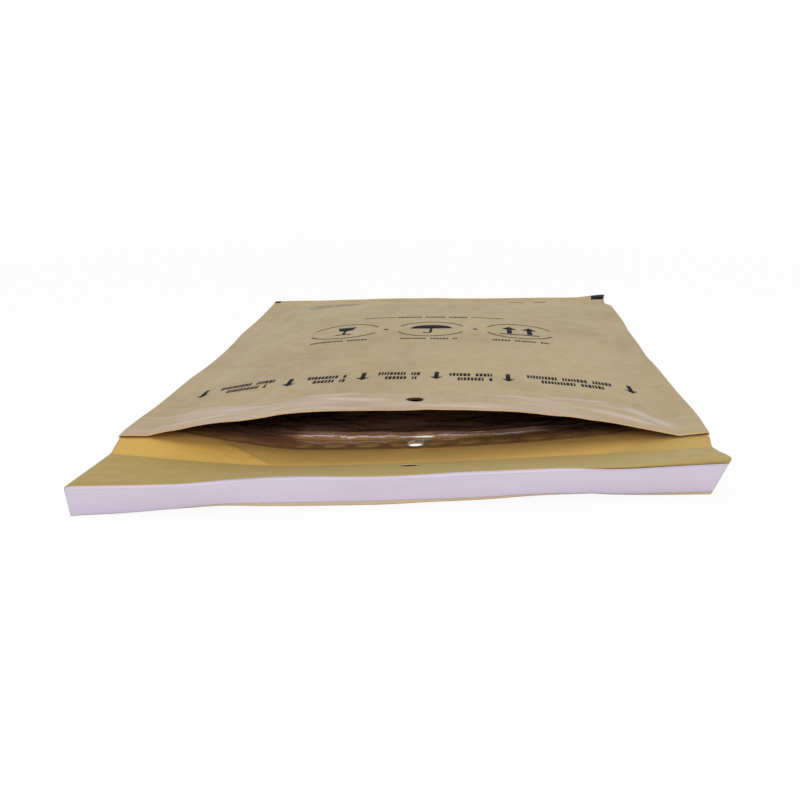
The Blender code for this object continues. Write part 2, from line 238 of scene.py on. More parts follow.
def back_edge(side, y):
    crease = np.where(side == LEFT, CREASE_LEFT, CREASE_RIGHT)
    sealed = seam_middle(side, np.maximum(y, 0.0)) - SEAM_THICKNESS / 2
    outside = np.maximum(0.0, -y / CREASE_OUT)
    return sealed + (crease - sealed) * outside


def back_height(x, y):
    """Height of the back sheet's underside."""
    low_x = sag_place(y)
    side = np.where(x < low_x, LEFT, RIGHT)
    bend = np.where(side == LEFT, bend_left(y), bend_right(y))
    low = sag_height(y) + far_lift(y) * (1 + x / HALF_WIDTH)
    room = sealed_half(y) - side * low_x - flat_half(y)
    share = np.clip((side * (x - low_x) - flat_half(y)) / room, 0.0, 1.0)
    height = low + (np.maximum(back_edge(side, y), low) - low) * share ** bend
    return height + corner_curl(x, y) * np.maximum(0.0, 1 + np.minimum(y, 0.0) / CREASE_OUT)


crown = smooth_curve(
    (0.0, CROWN_AT_MOUTH),
    (HOLE_SETBACK, CROWN_AT_HOLE),
    (BODY_LENGTH / 2, CROWN_AT_MIDDLE),
    (BODY_LENGTH - FAR_SLOPE, CROWN_AT_FAR_SLOPE),
    (BODY_LENGTH - FAR_SEAL, CROWN_AT_FAR_SEAL),
    (BODY_LENGTH, CROWN_AT_FAR_SEAL),
)


def front_height(x, y):
    """Height of the front sheet's top face."""
    side = np.where(x < 0, LEFT, RIGHT)
    sealed = seam_middle(side, y) + SEAM_THICKNESS / 2
    share = np.minimum(1.0, np.abs(x) / HALF_POCKET)
    bulge = 1 - share ** FRONT_FULLNESS
    dent = DENT_DEPTH * np.exp(-((x - DENT_PLACE) / DENT_SPREAD) ** 2)
    dent = dent * np.maximum(0.0, 1 - y / FLAT_LENGTH)
    height = sealed + (crown(y) - sealed) * bulge - dent * bulge + corner_curl(x, y)
    return np.maximum(height, back_height(x, y) + SEAM_THICKNESS)


# Heights of the flap's ridge and tip across the envelope
ridge_height = smooth_curve(
    (-0.100, 0.0121), (-0.0975, 0.0127), (-0.070, 0.0127), (-0.050, 0.0133), (-0.036, 0.0138),
    (0.000, 0.0139), (0.022, 0.0143), (0.037, 0.0146), (0.059, 0.0150), (0.070, 0.0153),
    (0.100, 0.0169))
tip_height = smooth_curve(
    (-0.100, 0.0001), (-0.082, 0.0007), (-0.062, 0.0016), (-0.055, 0.0019), (-0.040, 0.00134),
    (-0.021, 0.0007), (-0.006, 0.0004), (0.010, 0.0008), (0.0245, 0.0010), (0.0476, 0.0019),
    (0.0595, 0.0019), (0.067, 0.0013), (0.079, 0.0007), (0.100, 0.0001))


def points(x, y, z):
    x, y, z = np.broadcast_arrays(x, y, z)
    return np.stack([x, y, z], -1)


def unit(vectors):
    return vectors / np.linalg.norm(vectors, axis=-1, keepdims=True)


def flap_corners(x):
    """The crease, the start and end of the rounded ridge, its corner, and the tip."""
    crease = points(x, -CREASE_OUT, back_height(x, -CREASE_OUT + 0 * x))
    ridge = points(x, -across(x, RIDGE_OUT_LEFT, RIDGE_OUT_RIGHT), ridge_height(x))
    tip = points(x - TIP_SKEW, -across(x, TIP_OUT_LEFT, TIP_OUT_RIGHT), tip_height(x) + LEAN_RISE)
    trim = RIDGE_SHARPEN * across(x, RIDGE_ROUND_LEFT, RIDGE_ROUND_RIGHT)[..., None]
    before = ridge + unit(crease - ridge) * trim
    after = ridge + unit(tip - ridge) * trim
    return crease, before, ridge, after, tip


def flap_point(x, place):
    """The flap's underside: place 0 at the crease, 1 to 2 over the ridge, 3 at the tip."""
    crease, before, ridge, after, tip = flap_corners(x)
    place = place[..., None]
    s, t, u = (np.clip(place - start, 0, 1) for start in range(3))
    slope = crease * (1 - s) + before * s
    bend = before * (1 - t) ** 2 + ridge * 2 * t * (1 - t) + after * t ** 2
    face = after * (1 - u) + tip * u
    return np.where(place <= 1, slope, np.where(place <= 2, bend, face))


def flap_sheet(x, place):
    """The underside of the flap with the small ripples of its slope and tip."""
    sheet = flap_point(x, place)
    ripple = 0.00022 * soft_noise(x, place * 0.03, 0.026, 0.018, SEED_RIPPLE) * step_up(place, 0.1, 0.6)
    sheet[..., 2] += ripple * (1 - step_up(place, 0.95, 1.3))
    sheet[..., 1] += 0.0003 * soft_noise(x, place, 0.03, 5.0, SEED_TIP) * step_up(place, 2.0, 2.6)
    return sheet


# How far the outline stands out at each distance from the mouth, and how much shorter the far edge is
side_left = smooth_curve(
    (0.0, 0.0003), (0.008, 0.0008), (0.024, 0.0006), (0.041, 0.0), (0.081, 0.0001), (0.103, -0.0009),
    (0.127, -0.0014), (0.153, -0.0010), (0.182, 0.0001), (0.213, -0.0004), (0.275, 0.0))
side_right = smooth_curve(
    (0.0, 0.0009), (0.020, 0.0015), (0.036, 0.0012), (0.053, 0.0006), (0.073, 0.0003), (0.094, 0.0),
    (0.117, -0.0009), (0.143, -0.0005), (0.171, -0.0005), (0.204, 0.0005), (0.245, 0.0003),
    (0.2505, -0.0004), (0.2530, -0.0024), (0.264, -0.0022), (0.275, -0.0004))
far_short = smooth_curve(
    (-0.100, 0.0080), (-0.094, 0.0068), (-0.080, 0.0052), (-0.055, 0.0022), (-0.025, 0.0),
    (0.100, 0.0))


def settled(points):
    """Points of the body moved to the wavy outline and curled corner of a used envelope."""
    points = np.array(points, float)
    x, y = points[..., 0].copy(), points[..., 1].copy()
    edge = np.clip(np.abs(x) / HALF_WIDTH, 0, 1) ** 5 * step_up(y, -CREASE_OUT, 0.0)
    points[..., 0] += np.where(x < 0, -side_left(y), side_right(y)) * edge
    points[..., 1] -= far_short(x) * step_up(y, 0.200, BODY_LENGTH)
    points[..., 2] += CORNER_LIFT * step_up(x, 0.080, HALF_WIDTH) * step_up(y, 0.256, BODY_LENGTH)
    return points


# Rows, columns and punched holes

def spread(*runs):
    """Places from runs of (end, steps), the first run being (start, 0)."""
    places = [runs[0][0]]
    for end, steps in runs[1:]:
        places += list(np.linspace(places[-1], end, steps + 1)[1:])
    return np.array(places)


def mirrored(places):
    return np.concatenate([-places[:0:-1], places])


HOLE_RADIUS = HOLE_DIAMETER / 2
HOLE_BLOCK = 0.003
HOLE_STEPS = 3
HOLE_RIM = 1.001


def round_hole(x, y, centre_y):
    """Bends the grid so that the block of cells round a hole becomes a round rim.

    Gives the moved places, and how far out each is, with 1 on the rim.
    """
    u = x / HOLE_BLOCK
    v = (y - centre_y) / HOLE_BLOCK
    out = np.maximum(np.abs(u), np.abs(v))
    length = np.maximum(np.hypot(u, v), 1e-9)
    weight = np.clip(2 - out, 0, 1)
    ring = out * HOLE_RADIUS / length
    new_x = x * (1 - weight) + u * ring * weight
    new_y = (y - centre_y) * (1 - weight) + v * ring * weight
    return new_x, new_y + centre_y, out


def grid_faces(first, rows, columns, upward, skip=None):
    """Quads of a grid of points, without those whose corners all lie in skip."""
    index = first + np.arange(rows * columns).reshape(rows, columns)
    quads = np.stack([index[:-1, :-1], index[:-1, 1:], index[1:, 1:], index[1:, :-1]], -1)
    if not upward:
        quads = quads[..., ::-1]
    quads = quads.reshape(-1, 4)
    if skip is not None:
        inside = skip.reshape(-1)[quads - first].all(axis=1)
        quads = quads[~inside]
    return quads.tolist()


def strip_faces(row_a, row_b, flip):
    """Quads between two rows of point numbers."""
    quads = [(a, b, c, d) for a, b, c, d in zip(row_a, row_a[1:], row_b[1:], row_b)]
    return [quad[::-1] for quad in quads] if flip else quads


def place_object(name, data):
    obj = bpy.data.objects.new(name, data)
    bpy.context.scene.collection.objects.link(obj)
    return obj


def make_piece(name, verts, faces, materials, shares=None, sharp=40):
    """An object from points in mouth coordinates, with named shares on its points."""
    mesh = bpy.data.meshes.new(name)
    verts = np.asarray(verts, float).reshape(-1, 3) + np.array([0, MOUTH_Y, 0])
    used = np.unique(np.concatenate([np.asarray(face) for face in faces]))
    renumber = np.full(len(verts), -1)
    renumber[used] = np.arange(len(used))
    faces = [[int(renumber[v]) for v in face] for face in faces]
    mesh.from_pydata(verts[used].tolist(), [], faces)
    for key, values in (shares or {}).items():
        layer = mesh.attributes.new(key, "FLOAT", "POINT")
        layer.data.foreach_set("value", np.asarray(values, np.float32).reshape(-1)[used])
    mesh.update()
    mesh.shade_smooth()
    mesh.set_sharp_from_angle(angle=math.radians(sharp))
    for material in materials:
        mesh.materials.append(material)
    return place_object(name, mesh)


def thicken(obj, thickness, offset, even=True, rim_material=0):
    solid = obj.modifiers.new("thickness", "SOLIDIFY")
    solid.thickness = thickness
    solid.offset = offset
    solid.use_even_offset = even
    solid.material_offset_rim = rim_material


COLUMNS = mirrored(spread((0, 0), (HOLE_BLOCK, HOLE_STEPS), (0.012, 7), (HALF_POCKET, 50),
                          (HALF_WIDTH - FOLD_ROUND, 6)))
BODY_ROWS = spread((0, 0), (HOLE_SETBACK - HOLE_BLOCK, 13), (HOLE_SETBACK + HOLE_BLOCK, 2 * HOLE_STEPS),
                   (0.032, 11), (FLAT_LENGTH, 14), (BODY_LENGTH - FAR_SLOPE, 45),
                   (BODY_LENGTH - FAR_SEAL, 13), (BODY_LENGTH - FOLD_ROUND, 6))


# Colours, linear

KRAFT_DARK = (0.400, 0.298, 0.158)
KRAFT_LIGHT = (0.458, 0.352, 0.192)
KRAFT_PATCH = (0.455, 0.335, 0.180)
# Gold of the inner side: partly the paper's own colour, partly painted bounce light inside the pocket
GOLD_DARK = (0.56, 0.345, 0.072)
GOLD_LIGHT = (0.63, 0.395, 0.092)
# Painted light on the apron
GOLD_PAINTED_LIGHT = (0.84, 0.515, 0.115)
# Painted sheen: the greyer look of the flap's slope
SLOPE_LEFT = (0.400, 0.276, 0.060)
SLOPE_RIGHT = (0.448, 0.320, 0.100)
SLOPE_CLOUD = (0.425, 0.305, 0.078)
# Painted sheen of the band at the mouth, with painted highlights
PALE_DARK = (0.425, 0.308, 0.190)
PALE_LIGHT = (0.500, 0.372, 0.255)
PALE_GOLD = (0.47, 0.36, 0.20)
PALE_HIGHLIGHT = (0.570, 0.450, 0.355)
PAINTED_HIGHLIGHT_WHITE = (0.620, 0.515, 0.470)
FIBRE_BROWN = (0.25, 0.18, 0.09)
FLECK = (0.70, 0.60, 0.42)
WORN_EDGE = (0.56, 0.33, 0.11)
# Painted shade over the flap's ridge
RIDGE_PAINTED_SHADE = (0.330, 0.240, 0.085)
TIP_PAINTED_LIGHT = (0.76, 0.58, 0.35)
CUT_DARK = (0.52, 0.37, 0.22)
CUT_LIGHT = (0.68, 0.52, 0.36)
WEB_DARK = (0.380, 0.195, 0.075)
WEB_LIGHT = (0.500, 0.280, 0.105)
BUBBLE_DARK = (0.620, 0.400, 0.130)
BUBBLE_LIGHT = (0.760, 0.500, 0.190)
BUBBLE_RIM = (0.60, 0.42, 0.20)
DEEP_DARK = (0.340, 0.165, 0.100)
DEEP_LIGHT = (0.470, 0.255, 0.165)
DEEP_PAINTED_SHADE = (0.10, 0.045, 0.025)
FILM_EDGE_SHADE = (0.085, 0.042, 0.022)
GLINT = (0.90, 0.84, 0.95)
LINER_DARK = (0.640, 0.560, 0.680)
LINER_LIGHT = (0.690, 0.615, 0.730)
LINER_GRAIN = (0.50, 0.43, 0.56)
LINER_PAINTED_SHADE = (0.400, 0.345, 0.420)
GLUE_DARK = (0.62, 0.54, 0.38)
GLUE_LIGHT = (0.74, 0.68, 0.52)
NAVY = (0.010, 0.010, 0.017)
NAVY_WORN = (0.10, 0.085, 0.07)
GREY = (0.22, 0.20, 0.19)
GREY_WORN = (0.34, 0.29, 0.21)
FLOOR_DARK = (0.88, 0.88, 0.88)
FLOOR_LIGHT = (0.90, 0.90, 0.90)
UNDER_HOLE_PAINTED_SHADOW = (0.10, 0.08, 0.06)


# Materials

class Nodes:
    """Short ways to place and link the nodes of a tree."""

    def __init__(self, tree):
        self.tree = tree
        self.place = self.add("ShaderNodeTexCoord").outputs["Object"]

    def add(self, kind, **settings):
        node = self.tree.nodes.new(kind)
        for key, value in settings.items():
            setattr(node, key, value)
        return node

    def put(self, socket, value):
        """A link if value is an output, or else the socket's own value."""
        if isinstance(value, bpy.types.NodeSocket):
            self.tree.links.new(value, socket)
        elif isinstance(value, tuple) and len(value) == 3 and socket.type == "RGBA":
            socket.default_value = (*value, 1.0)
        else:
            socket.default_value = value

    def fill(self, node, **values):
        """Values for the inputs of a node, named with _ in the place of a space."""
        for key, value in values.items():
            self.put(node.inputs[key.replace("_", " ")], value)

    def math(self, operation, a, b=0.0, clamp=False):
        node = self.add("ShaderNodeMath", operation=operation, use_clamp=clamp)
        self.put(node.inputs[0], a)
        self.put(node.inputs[1], b)
        return node.outputs[0]

    def times(self, a, b):
        return self.math("MULTIPLY", a, b)

    def plus(self, a, b):
        return self.math("ADD", a, b)

    def vector(self, operation, *values, out="Vector"):
        node = self.add("ShaderNodeVectorMath", operation=operation)
        for socket, value in zip(node.inputs, values):
            self.put(socket, value)
        return node.outputs[out]

    def mix(self, share, a, b, blend="MIX"):
        node = self.add("ShaderNodeMix", data_type="RGBA", blend_type=blend)
        self.fill(node, Factor=share, A=a, B=b)
        return node.outputs["Result"]

    def turned_place(self, stretch=(1, 1, 1), turn=0.0):
        mapping = self.add("ShaderNodeMapping")
        self.fill(mapping, Vector=self.place, Scale=stretch, Rotation=(0, 0, turn))
        return mapping.outputs[0]

    def noise(self, scale, stretch=(1, 1, 1), detail=3.0, rough=0.5, turn=0.0, warp=0.0):
        node = self.add("ShaderNodeTexNoise")
        self.fill(node, Vector=self.turned_place(stretch, turn), Scale=scale, Detail=detail)
        self.fill(node, Roughness=rough, Distortion=warp)
        return node.outputs["Fac"]

    def ramp(self, value, low, high, out_low=0.0, out_high=1.0):
        node = self.add("ShaderNodeMapRange", interpolation_type="SMOOTHSTEP")
        self.fill(node, Value=value, From_Min=low, From_Max=high, To_Min=out_low, To_Max=out_high)
        return node.outputs["Result"]

    def cloud(self, scale, low=0.3, high=0.7, out_low=0.0, out_high=1.0, **looks):
        """Noise as a share that rises between two of its values."""
        return self.ramp(self.noise(scale, **looks), low, high, out_low, out_high)

    def along_x(self):
        split = self.add("ShaderNodeSeparateXYZ")
        self.put(split.inputs[0], self.place)
        return split.outputs["X"]

    def seen_directly(self):
        """1 for camera, glossy and transmission rays, 0 for the light that falls on things."""
        paths = self.add("ShaderNodeLightPath")
        seen = self.math("MAXIMUM", paths.outputs["Is Camera Ray"], paths.outputs["Is Glossy Ray"])
        return self.math("MAXIMUM", seen, paths.outputs["Is Transmission Ray"])

    def blend(self, share, first, second):
        node = self.add("ShaderNodeMixShader")
        for socket, value in zip(node.inputs, (share, first, second)):
            self.put(socket, value)
        return node.outputs[0]

    def share(self, key):
        return self.add("ShaderNodeAttribute", attribute_name=key).outputs["Fac"]

    def bump(self, height, distance, strength):
        node = self.add("ShaderNodeBump")
        self.fill(node, Strength=strength, Distance=distance, Height=height)
        return node.outputs["Normal"]


class Surface(Nodes):
    """The node tree of a new material with its principled shader."""

    def __init__(self, name):
        self.material = bpy.data.materials.new(name)
        self.material.use_nodes = True
        super().__init__(self.material.node_tree)
        self.shader = self.tree.nodes["Principled BSDF"]
        self.output = self.tree.nodes["Material Output"]

    def surface(self, **values):
        self.fill(self.shader, **values)


def kraft_ground(n, cloud):
    """The paper's tone: golden on the inner side, deepened by painted bounce light, with painted light on the
    apron; greyer on the flap's slope, where sheen is painted in.
    """
    light = n.ramp(cloud, 0.35, 0.68)
    patch = n.cloud(70, 0.40, 0.75, 0.0, 0.35, stretch=(1, 0.6, 1))
    colour = n.mix(light, KRAFT_DARK, KRAFT_LIGHT)
    colour = n.mix(patch, colour, KRAFT_PATCH)
    gold = n.mix(light, GOLD_DARK, GOLD_LIGHT)
    # Painted light on the apron: brighter gold on the lit facet and under the front sheet's edge
    gold = n.mix(n.share("bright"), gold, GOLD_PAINTED_LIGHT)
    colour = n.mix(n.share("golden"), colour, gold)
    # Painted sheen greys the flap's slope, a little more to the left
    sheen_and_shade = n.mix(n.ramp(n.along_x(), -0.085, 0.010), SLOPE_LEFT, SLOPE_RIGHT)
    sheen_and_shade = n.mix(n.ramp(cloud, 0.3, 0.7, 0.0, 0.5), sheen_and_shade, SLOPE_CLOUD)
    return n.mix(n.share("sheen_and_shade"), colour, sheen_and_shade)


def sheen_band_paper(n, streak):
    """The band at the mouth: painted sheen, mottled, with painted highlight spots."""
    golden_spots = n.cloud(45, 0.5, 0.7, 0.0, 0.6, stretch=(0.5, 1.5, 1), detail=2)
    highlight_spots = n.cloud(85, 0.46, 0.62, 0.0, 0.55, stretch=(0.4, 1.3, 1), warp=0.5)
    pale = n.mix(n.ramp(streak, 0.38, 0.62), PALE_DARK, PALE_LIGHT)
    pale = n.mix(golden_spots, pale, PALE_GOLD)
    return n.mix(highlight_spots, pale, PALE_HIGHLIGHT)


def kraft_material():
    """Golden kraft: fibres, flecks, cloudy tone, the paler band of painted sheen at the mouth, and painted
    light, shade and highlights.
    """
    n = Surface("kraft_paper")
    fibre = n.cloud(900, 0.3, 0.7, -0.5, 0.5, stretch=(1, 0.22, 1), rough=0.6)
    fibre_across = n.cloud(1100, 0.3, 0.7, -0.5, 0.5, stretch=(0.25, 1, 1), detail=2, rough=0.6)
    fleck = n.cloud(1500, 0.66, 0.76, 0.0, 0.3, stretch=(1, 0.5, 1), detail=2)
    streak = n.noise(60, stretch=(0.45, 1.6, 1), warp=0.6, turn=0.25)
    colour = kraft_ground(n, n.noise(22, detail=4))
    # Painted sheen: the paler band at the mouth, with a ragged edge
    pale_edge = n.plus(n.share("pale"), n.ramp(streak, 0.2, 0.8, -0.18, 0.18))
    colour = n.mix(n.ramp(pale_edge, 0.35, 0.65), colour, sheen_band_paper(n, streak))
    # Painted highlights along lines of the band
    white = n.times(n.share("streak"), n.ramp(streak, 0.3, 0.6, 0.25, 0.8))
    colour = n.mix(white, colour, PAINTED_HIGHLIGHT_WHITE)
    fine = n.plus(fibre, fibre_across)
    colour = n.mix(n.times(n.math("ABSOLUTE", fine), 0.16), colour, FIBRE_BROWN)
    colour = n.mix(fleck, colour, FLECK)
    colour = n.mix(n.times(n.share("worn"), 0.6), colour, WORN_EDGE)
    # Painted shade on the flap's ridge and face at the right
    colour = n.mix(n.share("painted_ridge_shade"), colour, RIDGE_PAINTED_SHADE)
    # Painted light on the flap's tip edge, which lies in shade, also given to the folds
    colour = n.mix(n.share("tip"), colour, TIP_PAINTED_LIGHT)
    rough = n.cloud(160, 0.3, 0.7, 0.52, 0.68)
    height = n.plus(n.times(fine, 0.35), n.noise(260))
    n.surface(Base_Color=colour, Roughness=rough, Normal=n.bump(height, 0.00012, 0.55))
    n.surface(Specular_IOR_Level=0.27, Sheen_Weight=0.06, Sheen_Roughness=0.45)
    return n.material


def cut_edge_material():
    n = Surface("kraft_cut_edge")
    fibre = n.noise(1600)
    colour = n.mix(n.ramp(fibre, 0.3, 0.7), CUT_DARK, CUT_LIGHT)
    n.surface(Base_Color=colour, Roughness=n.ramp(fibre, 0.3, 0.7, 0.75, 0.9))
    return n.material


# Painted highlights along the fold of the loose film: how far past it and how wide in mm, their slope in
# mm for each metre, the scale of the noise that breaks them, and where that noise fades them in
GLINT_LINES = (
    (0.20, 0.27, 0.0, 230, 0.28, 0.46),
    (1.2, 0.22, -12.0, 140, 0.44, 0.60),
    (-0.8, 0.18, 16.0, 170, 0.52, 0.68),
    (2.7, 0.20, 9.0, 120, 0.50, 0.66),
)


def film_creases(n):
    """Painted highlights along thin wandering creases in the film."""
    drift = n.add("ShaderNodeTexNoise")
    n.fill(drift, Vector=n.place, Scale=190.0, Detail=3.0)
    place = n.turned_place((1.0, 0.8, 1.0), 0.5)
    drifted = n.vector("MULTIPLY_ADD", drift.outputs["Color"], (0.006, 0.006, 0.0), place)
    cells = n.add("ShaderNodeTexVoronoi", feature="DISTANCE_TO_EDGE")
    n.fill(cells, Vector=drifted, Scale=105.0)
    crease = n.ramp(cells.outputs["Distance"], 0.0, 0.035, 1.0, 0.0)
    return n.times(crease, n.cloud(95, 0.50, 0.66, detail=2))


def film_lines(n):
    """Painted highlights, with some whitening of the creased film: bright lines along the fold of the loose
    film, and along thin creases near it.
    """
    past = n.share("past")
    bend = n.cloud(150, 0.2, 0.8, -0.55, 0.55, stretch=(1, 0.3, 1))
    bent = n.plus(past, bend)
    near = n.ramp(n.math("ABSOLUTE", past), 3.0, 8.0, 0.38, 0.0)
    total = n.times(film_creases(n), near)
    for offset, width, slope, cell, low, high in GLINT_LINES:
        centre = n.plus(n.times(n.along_x(), slope), offset)
        off = n.math("ABSOLUTE", n.math("SUBTRACT", bent, centre))
        broken = n.cloud(cell, low, high, stretch=(1, 0.15, 1), rough=0.6)
        line = n.times(n.ramp(off, 0.0, width, 1.0, 0.0), broken)
        total = n.plus(total, line)
    return n.math("MULTIPLY", total, n.share("reach"), clamp=True)


def from_bubble(n):
    """Distance from the middle of the nearest bubble, in metres, a little uneven."""
    pitch_y = BUBBLE_PITCH * math.sqrt(3)

    def lattice(shift_x, shift_y):
        moved = n.vector("ADD", n.place, (shift_x, shift_y, 0))
        wrapped = n.vector("WRAP", moved, (BUBBLE_PITCH / 2, pitch_y / 2, 0.5),
                           (-BUBBLE_PITCH / 2, -pitch_y / 2, -0.5))
        return n.vector("LENGTH", n.vector("MULTIPLY", wrapped, (1, 1, 0)), out="Value")

    first_y = MOUTH_Y + BUBBLE_FIRST_Y
    even = lattice(-BUBBLE_FIRST_X, -first_y)
    odd = lattice(-BUBBLE_FIRST_X - BUBBLE_PITCH / 2, -first_y - pitch_y / 2)
    wobble = n.cloud(140, 0.2, 0.8, -0.0007, 0.0007, detail=2)
    return n.plus(n.math("MINIMUM", even, odd), wobble)


def film_material(name, tone):
    """Clear film over kraft: golden where a bubble lies on the paper, brown between, with painted highlights
    and painted shade.
    """
    n = Surface(name)
    distance = from_bubble(n)
    disc = n.ramp(distance, BUBBLE_DISC - 0.0014, BUBBLE_DISC + 0.0004, 1.0, 0.0)
    disc = n.times(disc, n.share("disc"))
    rim = n.times(disc, n.ramp(distance, BUBBLE_DISC - 0.0016, BUBBLE_DISC - 0.0006))
    depth = n.share("depth")
    shaded_sides = n.math("SUBTRACT", 1.0, n.share("reach"))
    web = n.mix(n.cloud(120, stretch=(1, 0.5, 1)), WEB_DARK, WEB_LIGHT)
    gold = n.mix(n.cloud(260), BUBBLE_DARK, BUBBLE_LIGHT)
    deep = n.mix(n.cloud(60, 0.35, 0.65, stretch=(0.5, 1, 1)), DEEP_DARK, DEEP_LIGHT)
    edge = n.math("POWER", n.share("rim"), 3.0)
    colour = n.mix(n.times(disc, 0.85), web, gold)
    colour = n.mix(n.times(rim, 0.5), colour, BUBBLE_RIM)
    colour = n.mix(depth, colour, deep)
    # Painted shade deep in the pocket towards its sides
    colour = n.mix(n.times(depth, shaded_sides), colour, n.mix(0.35, colour, DEEP_PAINTED_SHADE))
    # Painted shade along the film's front edge, inside the mouth
    colour = n.mix(n.times(edge, 0.85), colour, FILM_EDGE_SHADE)
    # Painted highlights along the film's fold and creases
    colour = n.mix(film_lines(n), colour, GLINT)
    # A tone below 1 darkens the whole film: painted shade on the upper wall
    colour = n.mix(1.0, colour, (tone, tone, tone), "MULTIPLY")
    crinkle = n.noise(170, stretch=(0.35, 1.4, 1), detail=4, rough=0.6, warp=0.8)
    height = n.plus(crinkle, n.times(disc, 0.35))
    n.surface(Base_Color=colour, Roughness=n.cloud(90, 0.3, 0.7, 0.10, 0.24))
    n.surface(Normal=n.bump(height, 0.0006, 0.6), Coat_Weight=1.0, Coat_Roughness=0.08)
    return n.material


def liner_material():
    """Silicone-coated release paper: cool white, satin, with faint pressing marks."""
    n = Surface("release_paper")
    grain = n.noise(1300, detail=2)
    colour = n.mix(n.cloud(28, stretch=(0.5, 1, 1.8), detail=4), LINER_DARK, LINER_LIGHT)
    colour = n.mix(n.ramp(grain, 0.35, 0.65, 0.0, 0.10), colour, LINER_GRAIN)
    # Painted shade on the liner's bend up to the ridge
    colour = n.mix(n.times(n.share("crown"), 0.5), colour, LINER_PAINTED_SHADE)
    streak = n.noise(55, stretch=(0.12, 1, 1.6))
    rough = n.ramp(streak, 0.3, 0.7, 0.50, 0.62)
    height = n.plus(n.times(grain, 0.15), streak)
    n.surface(Base_Color=colour, Roughness=rough, Normal=n.bump(height, 0.00015, 0.4))
    n.surface(Coat_Weight=0.08, Coat_Roughness=0.45)
    return n.material


def adhesive_material():
    n = Surface("adhesive")
    cloud = n.noise(240, detail=4)
    colour = n.mix(n.ramp(cloud, 0.3, 0.7), GLUE_DARK, GLUE_LIGHT)
    n.surface(Base_Color=colour, Roughness=n.ramp(cloud, 0.3, 0.7, 0.2, 0.4))
    n.surface(Normal=n.bump(cloud, 0.0001, 0.5))
    return n.material


def ink_material(name, dark, light):
    """Flexo ink that lets some fibre through."""
    n = Surface(name)
    fibre = n.noise(1200, stretch=(1, 0.3, 1))
    colour = n.mix(n.ramp(fibre, 0.55, 0.75, 0.0, 0.35), dark, light)
    n.surface(Base_Color=colour, Roughness=n.ramp(fibre, 0.3, 0.7, 0.75, 0.85))
    n.surface(Specular_IOR_Level=0.08)
    return n.material


# Kraft paper

# Start, end, width and height of each pleat of the front sheet
PLEATS = (
    ((0.062, 0.019), (0.084, 0.006), 0.0016, 0.00055),
    ((0.050, 0.022), (0.078, 0.011), 0.0020, 0.00035),
    ((0.070, 0.024), (0.088, 0.016), 0.0018, -0.00040),
    ((-0.085, 0.020), (-0.060, 0.008), 0.0020, 0.00040),
    ((-0.070, 0.023), (-0.040, 0.015), 0.0022, -0.00030),
    ((-0.050, 0.010), (-0.020, 0.004), 0.0020, 0.00025),
    ((0.020, 0.017), (0.050, 0.008), 0.0022, 0.00030),
    ((0.008, 0.008), (0.034, 0.003), 0.0018, -0.00025),
)

# Start, end and width of each painted highlight streak on the band at the mouth
PAINTED_HIGHLIGHT_STREAKS = (
    ((0.046, 0.0240), (0.070, 0.0255), 0.0018),
    ((0.062, 0.0215), (0.082, 0.0200), 0.0014),
    ((0.074, 0.0250), (0.091, 0.0070), 0.0022),
    ((0.060, 0.0150), (0.084, 0.0060), 0.0013),
    ((0.030, 0.0225), (0.048, 0.0215), 0.0010),
    ((-0.040, 0.0225), (-0.020, 0.0232), 0.0012),
    ((-0.036, 0.0190), (-0.010, 0.0150), 0.0014),
    ((-0.070, 0.0170), (-0.044, 0.0165), 0.0016),
    ((-0.088, 0.0080), (-0.060, 0.0110), 0.0015),
    ((0.004, 0.0080), (0.030, 0.0060), 0.0012),
)


def front_waves(x, y):
    """Small height changes of the front sheet: waves, pleats and the lining's edge."""
    inner = step_up(HALF_POCKET - np.abs(x), -0.002, 0.012)
    waves = 0.00028 * soft_noise(x, y, 0.030, 0.040, SEED_WAVES)
    waves = waves + 0.00012 * soft_noise(x, y, 0.011, 0.016, SEED_SMALL_WAVES)
    near = 1 - step_up(y, 0.020, 0.045)
    band = 0.00016 * soft_noise(x + 0.6 * y, y, 0.007, 0.012, SEED_BAND) * near
    total = (waves + band) * inner
    for start, end, width, height in PLEATS:
        total = total + pleat(x, y, start, end, width, height)
    lining_edge = 0.00035 * window(y, 0.010, 0.024, 0.024, 0.060)
    return total + (lining_edge - 0.0002) * inner


def front_sheet(x, y, lift=0.0):
    return points(x, y, front_height(x, y) + front_waves(x, y) + lift)


def apron_crease(x, y):
    """The slanting crease of the back sheet beside the mouth's left corner."""
    rise = pleat(x, y, (-0.0465, -CREASE_OUT), (-0.0660, 0.0095), 0.0011, 0.0005)
    return rise * (1 - step_up(y, 0.0085, 0.0118))


def flap_grid():
    """The flap from the crease to the tip: each row's place, its points and its hole's cells."""
    crease, before = flap_corners(np.array([0.0]))[:2]
    rise = np.linalg.norm(crease - before)
    hole_out = HOLE_SETBACK - CREASE_OUT
    slope_rows = spread((0, 0), (hole_out - HOLE_BLOCK, 4), (hole_out + HOLE_BLOCK, 2 * HOLE_STEPS),
                        (rise, 14))
    places = np.concatenate([slope_rows / rise, np.linspace(1, 2, 9)[1:], np.linspace(2, 3, 25)[1:]])
    x, place = np.meshgrid(COLUMNS, places)
    hole_x, out, ring = round_hole(x, place * rise, hole_out)
    on_slope = place < 1
    sheet = flap_sheet(np.where(on_slope, hole_x, x), np.where(on_slope, out / rise, place))
    return places, sheet, (ring <= HOLE_RIM) & on_slope


def back_sheet(x, y):
    return points(x, y, back_height(x, y) + apron_crease(x, y))


def soften(rows, middle):
    """The rows of points with the bend at the middle row made round."""
    for _ in range(2):
        near = rows[middle - 1:middle + 2]
        near = (rows[middle - 2:middle + 1] + 2 * near + rows[middle:middle + 3]) / 4
        rows = np.concatenate([rows[:middle - 1], near, rows[middle + 2:]])
    return rows


